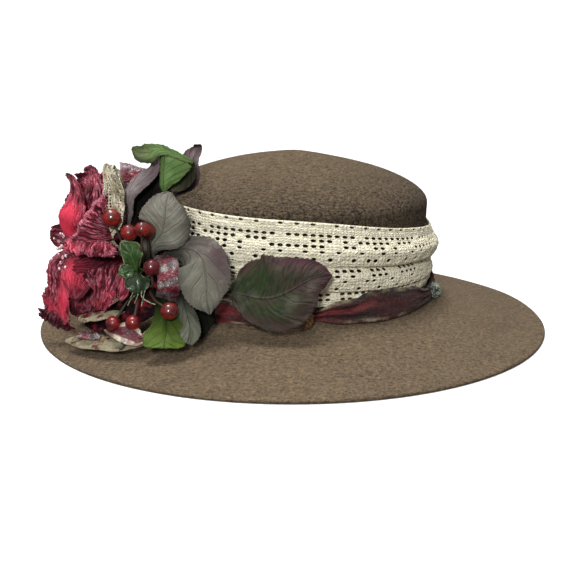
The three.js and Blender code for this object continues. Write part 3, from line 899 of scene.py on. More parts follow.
def blade(stations, facing, fold=0.0, dish=0.0):
    """Returns the place of (across -1 to 1, along 0 to 1, relief) on the sheet."""
    looks = facing if isinstance(facing[0], (tuple, list)) else [facing, facing]

    def place(v, t, relief):
        row = spline(stations, t)
        step = 0.004
        low, high = spline(stations, max(t - step, 0.0)), spline(stations, min(t + step, 1.0))
        run = (Vector(high[:3]) - Vector(low[:3])).normalized()
        side = run.cross(Vector(spline(looks, t))).normalized()
        face = side.cross(run)
        half = row[3] if v < 0 else row[4]
        sink = half * (fold * abs(v) + dish * v * v)
        return Vector(row[:3]) + side * (v * half) + face * (relief - sink)

    return place


def line_length(stations):
    points = [Vector(spline(stations, k / 40)[:3]) for k in range(41)]
    return sum((b - a).length for a, b in zip(points, points[1:]))


def petal_finish(name, bright_weight):
    """Silk: smooth and bright near the heart, crumpled towards its margin, with painted highlights on the
    crests and painted shade in the folds, valleys and dark spots.
    """
    f = Finish(name)
    bright, crumpled_zone, dark, ridge = f.tone()
    creases = f.specks(1.0, 2.0, 0.5, f.on_map((560, 95, 1)), 0.5)
    crest = 1 - ((creases - 0.5) * 5.0).absolute().least(1.0)
    fine = f.specks(900, 3.0, 0.6)
    rough = 1 - 0.85 * bright
    base = f.mix(bright * bright_weight, shade("petal"), shade("petal_bright"))
    # Painted shade in large folds of the crumpled silk.
    fold = f.specks(80, 2.0, 0.5).ramp(0.46, 0.62)
    base = f.mix(fold * crumpled_zone * 0.55, base, shade("petal_dark_and_shade"))
    # Painted shade in the valleys between the crests.
    valley_shade = (1 - ridge.ramp(0.1, 0.62)) * (1 - 0.4 * crest)
    base = f.mix(valley_shade * crumpled_zone, base, shade("petal_dark_and_shade"))
    # Painted highlight on the crests of the crumpled silk.
    crest_highlight = ridge.ramp(0.35, 1.0) * (0.5 + 0.5 * crest) * (0.5 + 0.6 * fine) * crumpled_zone
    base = f.mix(crest_highlight, base, shade("petal_crest_highlight"))
    # Dark tips and root, and the dark spots, which are painted shade.
    base = f.mix(dark, base, shade("petal_dark_and_shade"))
    normal = f.bump((crest + 0.25 * fine) * rough, 0.0023, 1.0)
    return f.surface(Base_Color=base, Roughness=0.6 + 0.25 * crumpled_zone, Normal=normal, Specular_IOR_Level=0.25)


def wrinkle(x, y, seed):
    """Sharp crests, 0 to 1, that run along y and wander like creases in crushed silk."""
    first = grain(x + 0.6 * grain(y * 0.5, x * 0.3, seed + 1), y * 0.16, seed)
    second = grain(2.1 * x, y * 0.4, seed + 2)
    return 0.7 * (1 - min(1.0, 2.6 * abs(first))) + 0.3 * (1 - min(1.0, 2.6 * abs(second)))


PETAL_LOBE = {  # what a petal's lobe has where its row says nothing
    "fold": 0.0, "dish": 0.0,  # its section
    "deep": 1.0, "smooth": 0.15, "fine": 1.0,  # depth of the creases, where they start, fineness of the mesh
    "ruffle": (0.0, 3), "ragged": 0.10,  # the margin's height and waves, and how torn it is
    # The dark spots are painted shade.
    "bright": [], "dark": [],  # soft spots
    # The pale rim is a painted highlight.
    "tip": 0.94, "sides": 0.0, "rim": 0.0,  # dark from here on, dark sides, pale rim
}


PETAL_COLUMNS, PETAL_STEPS = (2.6, 24, 80), (1.5, 30, 110)  # for each millimetre, least, most


def cells_for(size, each, least, most):
    return int(min(most, max(least, each * size)))


def petal_lobe(row, lobe, number):
    """One sheet of a petal, as a mesh."""
    own = {**PETAL_LOBE, **lobe}
    place = blade(own["line"], own["facing"], own["fold"], own["dish"])
    seed = row["seed"] + 30 * number
    ruffle, waves = own["ruffle"]
    ragged = own["ragged"]
    widest = max(max(station[3:]) for station in own["line"])
    long = line_length(own["line"])
    fan = own.get("fan", widest / 2.2)

    def masks(v, t):
        bright = spot(own["bright"], t, v)
        bright = min(1.0, bright * (1.0 + 0.4 * grain(v * 3, t * 5, seed)))
        crumpled_zone = smooth(own["smooth"], own["smooth"] + 0.35, t) * (1 - 0.85 * bright)
        crumple = wrinkle(v * fan, t * long / 3.0, seed)
        edge = smooth(own["tip"], 1.0, t) if own["tip"] < 1 else 0.0
        edge = max(edge, own["sides"] * smooth(0.86, 1.0, abs(v)))
        edge *= 0.6 + 0.5 * grain(v * 9, t * 9, seed + 5)
        # Pale rim: a painted highlight near the tip.
        pale = own["rim"] * smooth(0.84, 0.93, t)
        root = 1 - smooth(0.0, 0.22, t)
        shadow = spot(own["dark"], t, v)
        return bright, crumpled_zone, min(1.0, max(edge, root, shadow)), max(crumple, pale)

    def at(u, t):
        v = 2 * u - 1
        bright, crumpled_zone, _, crumple = masks(v, t)
        relief = own["deep"] * 1.5 * (crumple - 0.35) * (0.2 + 0.8 * crumpled_zone) * smooth(0.1, 0.4, t)
        relief += 1.1 * grain(v * 1.7, t * 3.1, seed + 6) * (1 - 0.5 * bright)
        sway = math.sin(math.pi * (waves * v + 0.8 * grain(v * 2, 0, seed)))
        relief += ruffle * sway * smooth(0.4, 1.0, t)
        tear = grain(t * long / 2.5, 3 * (v > 0), seed + 7)
        torn = 1 + ragged * tear * smooth(0.6, 1.0, abs(v)) * smooth(0.2, 0.4, t)
        end = 1 + 0.5 * ragged * grain(v * widest / 2.0, 0.3, seed + 8) * smooth(0.75, 1.0, t)
        return place(v * torn, t * (1 - 0.5 * ragged) * end, relief)

    def paint(u, t):
        bright, crumpled_zone, dark, crumple = masks(2 * u - 1, t)
        return (bright, crumpled_zone, dark, min(1.0, max(0.0, crumple)))

    def chart(u, t):
        return ((u - 0.5) * 2 * widest * MM, t * long * MM)

    columns = cells_for(widest * own["fine"], *PETAL_COLUMNS)
    steps = cells_for(long * own["fine"], *PETAL_STEPS)
    return new_sheet(columns, steps, at, paint, chart)


def make_petal(row, finishes):
    lobes = row.get("lobes", [row])
    bm = joined([(petal_lobe(row, lobe, k), 0) for k, lobe in enumerate(lobes)])
    name = row["name"]
    add_piece(f"{name}_silk", bm, finishes, [name], "petal_silk", sizes().silk, backs=True)


ROOT = (-122, -64, 64, 3, 3)  # where most petals start
PETALS = [
    {"name": "petal_front_1", "seed": 1, "lobes": [
        {"facing": (-0.25, -1, 0.1), "dish": 0.2, "fan": 4.5, "bright": [(0.38, -0.35, 0.22, 0.8, 1.5)],
         "tip": 0.72, "ragged": 0.16, "smooth": 0.3, "fine": 1.5,
         "dark": [(0.62, 0.4, 0.04, 0.6, 0.6), (0.72, -0.3, 0.05, 0.6, 0.6)],
         "line": [ROOT, (-136, -72, 76, 6, 6), (-146, -79, 86, 8, 8), (-147, -84, 94, 9.5, 10),
                  (-145, -84, 101, 8, 9), (-143, -81, 108, 6, 6), (-143, -78, 114, 5, 4),
                  (-145, -75, 119, 3.5, 2.5), (-149, -72, 122, 1.8, 1.8), (-155, -70, 122, 0.4, 0.4)]},
        {"facing": (-0.1, -1, 0.2), "dish": 0.2, "fan": 3, "tip": 0.8,
         "line": [(-140, -60, 86, 3, 3), (-146, -62, 96, 5, 5), (-151, -62, 103, 5, 5),
                  (-155, -60, 105, 2, 2)]}]},
    {"name": "petal_front_2", "seed": 2, "lobes": [
        {"facing": (-0.1, -1, 0.1), "dish": 0.25, "fan": 4, "tip": 0.6, "ragged": 0.2, "fine": 1.6,
         "dark": [(0.55, -0.6, 0.1, 0.3, 0.7), (0.8, 0.4, 0.1, 0.3, 0.5)],
         "line": [ROOT, (-126, -68, 80, 5, 6), (-133, -74, 94, 6, 8), (-134, -76, 103, 7, 9),
                  (-132, -76, 110, 7, 8), (-132, -75, 117, 5.5, 6), (-132, -73, 122, 4.5, 4.5),
                  (-134, -71, 126, 3, 3), (-137, -70, 126, 1.8, 1.8), (-141, -69, 124, 0.4, 0.4)]},
        {"facing": (-0.3, -1, 0.1), "dish": 0.2, "fan": 3, "tip": 0.85,
         "line": [(-128, -62, 92, 4, 4), (-134, -66, 108, 5, 5), (-138, -66, 116, 4, 4),
                  (-142, -64, 119, 1, 1)]}]},
    {"name": "petal_front_3", "seed": 3, "facing": (0, -1, 0.1), "dish": 0.2, "fan": 3,
     "bright": [(0.9, 0, 0.3, 1, 0.9)], "tip": 0.99,
     "line": [ROOT, (-126, -60, 86, 4, 4), (-127, -62, 104, 5, 5), (-126, -64, 114, 4.5, 4.5),
              (-125, -64, 121, 4, 4), (-124, -63, 126, 1.5, 1.5)]},
    {"name": "petal_front_4", "seed": 4, "lobes": [
        {"facing": [(0, -1, 0.4), (-0.1, -1, 0.3), (-0.35, -1, 0.3)], "dish": 0.12, "fan": 8, "deep": 1.3,
         "tip": 1.3, "rim": 0.85, "smooth": 0.0, "fine": 1.5, "ruffle": (0.8, 4),
         "dark": [(0.25, 0.2, 0.25, 0.9, 0.6)],
         "line": [(-112, -78, 85, 3, 3), (-118, -88, 89, 7, 7), (-123, -93, 92, 11, 11),
                  (-128, -96, 95, 14, 15), (-132, -96, 98, 16, 18), (-135, -93, 100, 17, 18)]},
        {"facing": (-0.2, -1, 0.2), "dish": 0.1, "fan": 5, "bright": [(0.8, 0.0, 0.3, 0.8, 0.35)],
         "tip": 1.2,
         "line": [ROOT, (-122, -74, 82, 8, 8), (-130, -80, 92, 11, 11), (-138, -82, 100, 10, 10)]}]},
    {"name": "petal_front_5", "seed": 5, "lobes": [
        {"facing": [(0, -0.5, 1), (-0.1, -0.5, 1), (-0.2, -0.8, 0.8), (-0.2, -1, 0.1)], "dish": 0.12,
         "fan": 7, "deep": 1.4, "ruffle": (1.1, 3), "ragged": 0.2, "fine": 1.5,
         "bright": [(0.85, 0.5, 0.3, 0.4, 0.5)], "tip": 1.3, "smooth": 0.25,
         "dark": [(1.0, -0.7, 0.12, 0.6, 0.6), (0.62, 0.2, 0.06, 0.9, 0.5)],
         "line": [ROOT, (-124, -74, 74, 9, 9), (-129, -84, 81, 14, 14), (-132, -92, 83.5, 17, 16),
                  (-134, -97, 81, 19, 18), (-135, -99, 76, 19, 18), (-135, -98, 72, 18, 16)]},
        # A lobe painted almost wholly in shade, under the first one.
        {"facing": (-0.2, -1, 0.4), "dish": 0.3, "fan": 3, "deep": 0.3, "smooth": 0.9, "tip": 1.3,
         "bright": [(0.9, 0, 0.3, 0.6, 0.2)], "dark": [(0.5, 0, 0.5, 3, 0.9)],
         "line": [(-112, -72, 70, 5, 5), (-122, -82, 70, 10, 9), (-134, -88, 68, 11, 9),
                  (-148, -90, 66, 8, 7)]}]},
    {"name": "petal_front_6", "seed": 6, "lobes": [
        {"facing": (-0.35, -1, 0.3), "dish": 0.3, "fan": 2, "deep": 0.3, "smooth": 0.6, "tip": 0.97,
         "bright": [(0.6, 0.3, 0.4, 0.7, 0.7)], "ragged": 0.06, "dark": [(0.8, -1.0, 0.5, 0.35, 0.5)],
         "line": [ROOT, (-132, -74, 66, 8, 9), (-141, -84, 64, 12, 12), (-145, -90, 59, 13, 12),
                  (-146, -92, 53, 11, 11), (-147, -90, 46, 7, 7), (-148, -88, 41, 2, 2)]},
        {"facing": (-0.2, -1, 0.2), "dish": 0.2, "fan": 2, "deep": 0.4, "smooth": 0.5,
         "dark": [(0.8, 0, 0.5, 2, 0.5)], "tip": 0.9,
         "line": [ROOT, (-134, -70, 56, 11, 11), (-140, -78, 46, 13, 12), (-144, -80, 37, 13, 11),
                  (-146, -79, 30, 11, 9), (-147, -77, 24, 8, 6)]}]},
    {"name": "petal_front_7", "seed": 7, "lobes": [
        {"facing": (-0.35, -1, 0.3), "dish": 0.15, "fan": 3.5, "ragged": 0.22, "ruffle": (1.2, 2),
         "tip": 1.2, "bright": [(0.75, -0.55, 0.22, 0.5, 1.3), (0.9, 0.3, 0.16, 0.7, 1.0)], "smooth": 0.0,
         "fine": 1.4, "rim": 0.6, "dark": [(0.36, -0.8, 0.05, 0.5, 0.6)],
         "line": [ROOT, (-142, -70, 68, 5, 4), (-157, -73, 66, 6, 5), (-161, -76, 60, 7, 7),
                  (-160, -78, 51, 7, 8), (-161, -79, 42, 9, 10), (-163, -77, 34, 11, 12),
                  (-165, -73, 27, 13, 12), (-166, -70, 23, 13, 11)]},
        {"facing": (-0.3, -1, -0.2), "dish": 0.1, "fan": 6, "ragged": 0.5, "tip": 0.75, "smooth": 0.0,
         "dark": [(0.7, 0, 0.6, 3, 0.75)],
         "line": [(-160, -72, 30, 6, 6), (-165, -73, 24, 12, 11), (-167, -69, 18, 12, 11),
                  (-168, -65, 14, 9, 8)]}]},
    {"name": "petal_front_8", "seed": 8, "lobes": [
        {"facing": [(0, -0.6, 1), (0, -0.8, 0.7), (0, -1, 0.2)], "dish": 0.1, "fan": 7, "deep": 1.3,
         "tip": 1.0, "ragged": 0.14, "smooth": 0.0, "fine": 1.5, "bright": [(0.85, -0.2, 0.15, 0.7, 0.6)],
         "dark": [(0.5, 0.55, 0.05, 0.3, 0.6), (0.62, -0.8, 0.1, 0.3, 0.8)],
         "line": [ROOT, (-123, -76, 64, 9, 9), (-124, -88, 63, 13, 13), (-124, -95, 59, 13, 15),
                  (-125, -98, 53, 11, 11), (-127, -98, 47, 9, 7), (-130, -94, 40, 7, 5.5),
                  (-132, -88, 33, 6, 5)]},
        {"facing": (-0.2, -1, 0.1), "dish": 0.1, "fan": 4, "deep": 1.2, "tip": 0.95, "smooth": 0.0,
         "bright": [(0.5, 0.3, 0.4, 0.5, 0.3)], "sides": 0.4,
         "line": [(-118, -84, 62, 3, 3), (-113, -92, 63, 4, 4), (-112, -97, 58, 4.5, 4.5),
                  (-113, -99, 50, 5, 5), (-117, -98, 44, 3, 3)]},
        {"facing": (-0.1, -1, 0.2), "dish": 0.2, "fan": 4, "smooth": 0.2, "tip": 1.2,
         "dark": [(0.7, 0, 0.5, 2, 0.4)],
         "line": [ROOT, (-128, -74, 58, 9, 9), (-134, -80, 46, 10, 10), (-137, -82, 36, 6, 6),
                  (-138, -82, 30, 1, 1)]}]},
    {"name": "petal_front_9", "seed": 9, "facing": (0.1, -1, 0.35), "dish": 0.15, "fan": 5, "deep": 1.1,
     "bright": [(0.9, 0.2, 0.25, 0.8, 0.4)], "ruffle": (1.2, 4), "tip": 1.3, "ragged": 0.2, "smooth": 0.0,
     "fine": 1.5,
     "line": [ROOT, (-122, -80, 59, 5, 5), (-119, -90, 57, 7, 7), (-117, -97, 53, 7, 7),
              (-117, -100, 49, 5, 6), (-117, -100, 45, 3, 4)]},
    {"name": "petal_left", "seed": 10, "facing": (-0.3, -1, 0.1), "dish": 0.2, "fan": 4, "tip": 0.6,
     "dark": [(0.6, 0, 0.5, 3, 0.6)],
     "line": [ROOT, (-142, -54, 70, 7, 7), (-156, -49, 74, 9, 9), (-166, -46, 76, 8, 8),
              (-172, -43, 77, 4, 4)]},
    {"name": "petal_inner_1", "seed": 11, "facing": (-0.5, -1, 0.5), "dish": 0.4, "fan": 4,
     "bright": [(0.6, 0, 0.3, 1, 0.6)], "tip": 0.85,
     "line": [ROOT, (-140, -58, 79, 7, 8), (-149, -60, 90, 8, 8), (-154, -58, 97, 6, 6),
              (-158, -56, 100, 2, 2)]},
    {"name": "petal_inner_2", "seed": 12, "facing": (-0.5, -1, 0.2), "dish": -0.3, "fan": 3,
     "bright": [(0.5, 0, 0.35, 1, 0.7)],
     "line": [ROOT, (-140, -58, 56, 8, 8), (-154, -54, 48, 10, 9), (-165, -47, 46, 5, 5)]},
    {"name": "petal_back_1", "seed": 13, "facing": (-0.5, 1, 0.6), "dish": 0.2, "fan": 6,
     "bright": [(0.4, 0, 0.3, 1, 0.5)],
     "line": [ROOT, (-132, -46, 90, 13, 13), (-142, -32, 106, 15, 14), (-156, -24, 112, 5, 5)]},
    {"name": "petal_back_2", "seed": 14, "facing": (-0.6, 1, 0), "dish": 0.2, "fan": 6,
     "bright": [(0.4, 0, 0.3, 1, 0.5)],
     "line": [ROOT, (-132, -38, 66, 13, 14), (-142, -18, 70, 16, 15), (-156, -6, 76, 5, 5)]},
    {"name": "petal_back_3", "seed": 15, "facing": (-0.3, 1, 0.5), "dish": 0.2, "fan": 6,
     "line": [ROOT, (-132, -42, 48, 12, 13), (-144, -26, 34, 15, 14), (-160, -18, 28, 5, 5)]},
    {"name": "petal_back_4", "seed": 16, "facing": (-0.7, -0.6, 0.4), "dish": 0.2, "fan": 6,
     "line": [ROOT, (-134, -60, 44, 10, 10), (-144, -52, 28, 13, 12), (-158, -40, 16, 5, 5)]},
]


def leaf_finish(name, field, heart, margin, veins, slant, vein_share, crinkle):
    """Velvet or cotton: a tint at the heart, another at the margin, fine veins pressed in, and painted shade
    in the creases and dark spots.

    veins is their number, slant how far they lean, and crinkle how crushed the pile is and how deep the
    painted shade in its creases.
    """
    f = Finish(name)
    u, v = f.uv()
    side = (u - 0.5).absolute() * 2.0
    tone = f.tone()
    pile = f.specks(1300, 3.0, 0.75)
    cloud = f.specks(70, 4.0, 0.6)
    lie = v - side * slant + 0.04 * cloud
    rib = (lie * veins).part() - 0.5
    vein = (1 - rib.absolute().ramp(0.0, 0.10)) * side.ramp(0.02, 0.12)
    brushed = f.node("ShaderNodeCombineXYZ", None, {0: lie * 46.0, 1: side * 3.5})
    hatch = f.specks(1.0, 3.0, 0.6, brushed)
    middle = 1 - side.ramp(0.0, 0.05)
    pale = (*(1.15 * part + 0.035 for part in field[:3]), 1)
    base = f.mix(tone[0], field, heart)
    base = f.mix(tone[1], base, margin)
    base = f.mix(vein * vein_share, base, pale)
    base = f.mix(middle * 3 * vein_share * v.ramp(0.15, 0.35), base, pale)
    # Painted shade in the creases of the crushed pile.
    base = f.mix(hatch.ramp(0.42, 0.66) * crinkle, base, tint("leaf crease shade"))
    base = f.mix((1 - pile).ramp(0.45, 0.7) * 0.3, base, tint("leaf pile"))
    base = f.mix(cloud.ramp(0.5, 0.68) * 0.5, base, pale)
    base = f.mix((1 - cloud).ramp(0.5, 0.68) * 0.35, base, margin)
    base = f.mix(tone[2], base, tint("leaf shade"))
    height = 0.35 * pile - 0.5 * vein + 0.9 * middle + 1.4 * crinkle * hatch
    normal = f.bump(height, 0.0011, 0.9)
    return f.surface(Base_Color=base, Roughness=0.85, Normal=normal, Specular_IOR_Level=0.1)


LEAF_LOBE = {  # what a leaf's lobe has where its row says nothing
    "fold": 0.0, "dish": 0.0,  # its section
    "saw": 0.9, "wave": 1.0,  # depth of the teeth and of the quilting
    "margin": 0.6, "end": 0.5,  # how far the margin's and the tip's tint show
    # The dark spots are painted shade.
    "tint": [], "dark": [],  # soft spots
    "finish": 0,
}
TOOTH_PITCH = 2.6
QUILT = 0.22
LEAF_COLUMNS, LEAF_STEPS = 30, 3.2  # across, and for each tooth


def leaf_lobe(row, lobe, number):
    """One sheet of a leaf with saw edges, as a mesh."""
    own = {**LEAF_LOBE, **lobe}
    place = blade(own["line"], own["facing"], own["fold"], own["dish"])
    teeth = max(4, round(line_length(own["line"]) / TOOTH_PITCH))
    veins, slant = row.get("veins", 8), row.get("slant", 0.3)
    seed = row["seed"] + number

    def at(u, t):
        v = 2 * u - 1
        tooth = abs((t * teeth) % 1.0 - 0.35) - 0.3
        out = own["saw"] * tooth * smooth(0.7, 1.0, abs(v)) * smooth(0.12, 0.25, t)
        station = spline(own["line"], t)
        half = max(0.3, station[3] if v < 0 else station[4])
        stretch = 1 + out / max(half, 3.0)
        quilt = QUILT * math.sin(2 * math.pi * veins * (t - slant * abs(v))) * smooth(0.05, 0.4, abs(v))
        relief = own["wave"] * (quilt + 1.2 * grain(v * 1.5, t * 2.5, seed))
        relief += own["wave"] * 1.3 * grain(t * 7, 0.5 + 3 * (v > 0), seed + 4) * abs(v) ** 3
        return place(v * stretch, t, relief)

    def paint(u, t):
        v = 2 * u - 1
        margin = smooth(0.35, 0.95, abs(v)) * own["margin"] + smooth(0.55, 0.9, t) * own["end"]
        margin *= 0.8 + 0.5 * grain(v * 3, t * 4, seed + 2)
        return (min(1, spot(own["tint"], t, v)), min(1, max(0, margin)), min(1, spot(own["dark"], t, v)), 1)

    return new_sheet(LEAF_COLUMNS, int(LEAF_STEPS * teeth), at, paint), 2 * own["finish"]


def make_leaf(row, finishes):
    """A leaf; finishes holds a face and a back for each finish that its lobes name."""
    name = row["name"]
    bm = joined([leaf_lobe(row, lobe, number) for number, lobe in enumerate(row["lobes"])])
    add_piece(f"{name}_sheet", bm, finishes, [name], row["slot"], sizes().silk, backs=True)


BROAD_VEINS = (9, 0.16, 0.13, 0.8)  # number, slant, strength, crinkle
FINE_VEINS = (6, 0.3, 0.07, 0.25)
LEAF_TINTS = {  # field, heart, margin
    "leaf_large": ((0.056, 0.052, 0.032, 1), (0.018, 0.046, 0.007, 1), (0.074, 0.025, 0.036, 1)),
    "leaf_side": ((0.185, 0.180, 0.142, 1), (0.072, 0.036, 0.046, 1), (0.11, 0.105, 0.085, 1)),
    "leaf_upper": ((0.29, 0.29, 0.232, 1), (0.21, 0.215, 0.155, 1), (0.14, 0.10, 0.096, 1)),
    "leaf_tip": ((0.20, 0.15, 0.15, 1), (0.10, 0.06, 0.06, 1), (0.16, 0.095, 0.105, 1)),
    "leaf_curled": ((0.24, 0.20, 0.20, 1), (0.16, 0.10, 0.116, 1), (0.16, 0.10, 0.116, 1)),
    "leaf_lower_grey": ((0.13, 0.135, 0.10, 1), (0.10, 0.10, 0.08, 1), (0.08, 0.085, 0.062, 1)),
    "fresh": ((0.115, 0.20, 0.058, 1), (0.12, 0.14, 0.065, 1), (0.14, 0.17, 0.07, 1)),
    "olive": ((0.185, 0.215, 0.095, 1), (0.07, 0.09, 0.035, 1), (0.14, 0.09, 0.08, 1)),
    "lower": ((0.085, 0.14, 0.016, 1), (0.03, 0.06, 0.008, 1), (0.04, 0.065, 0.012, 1)),
}
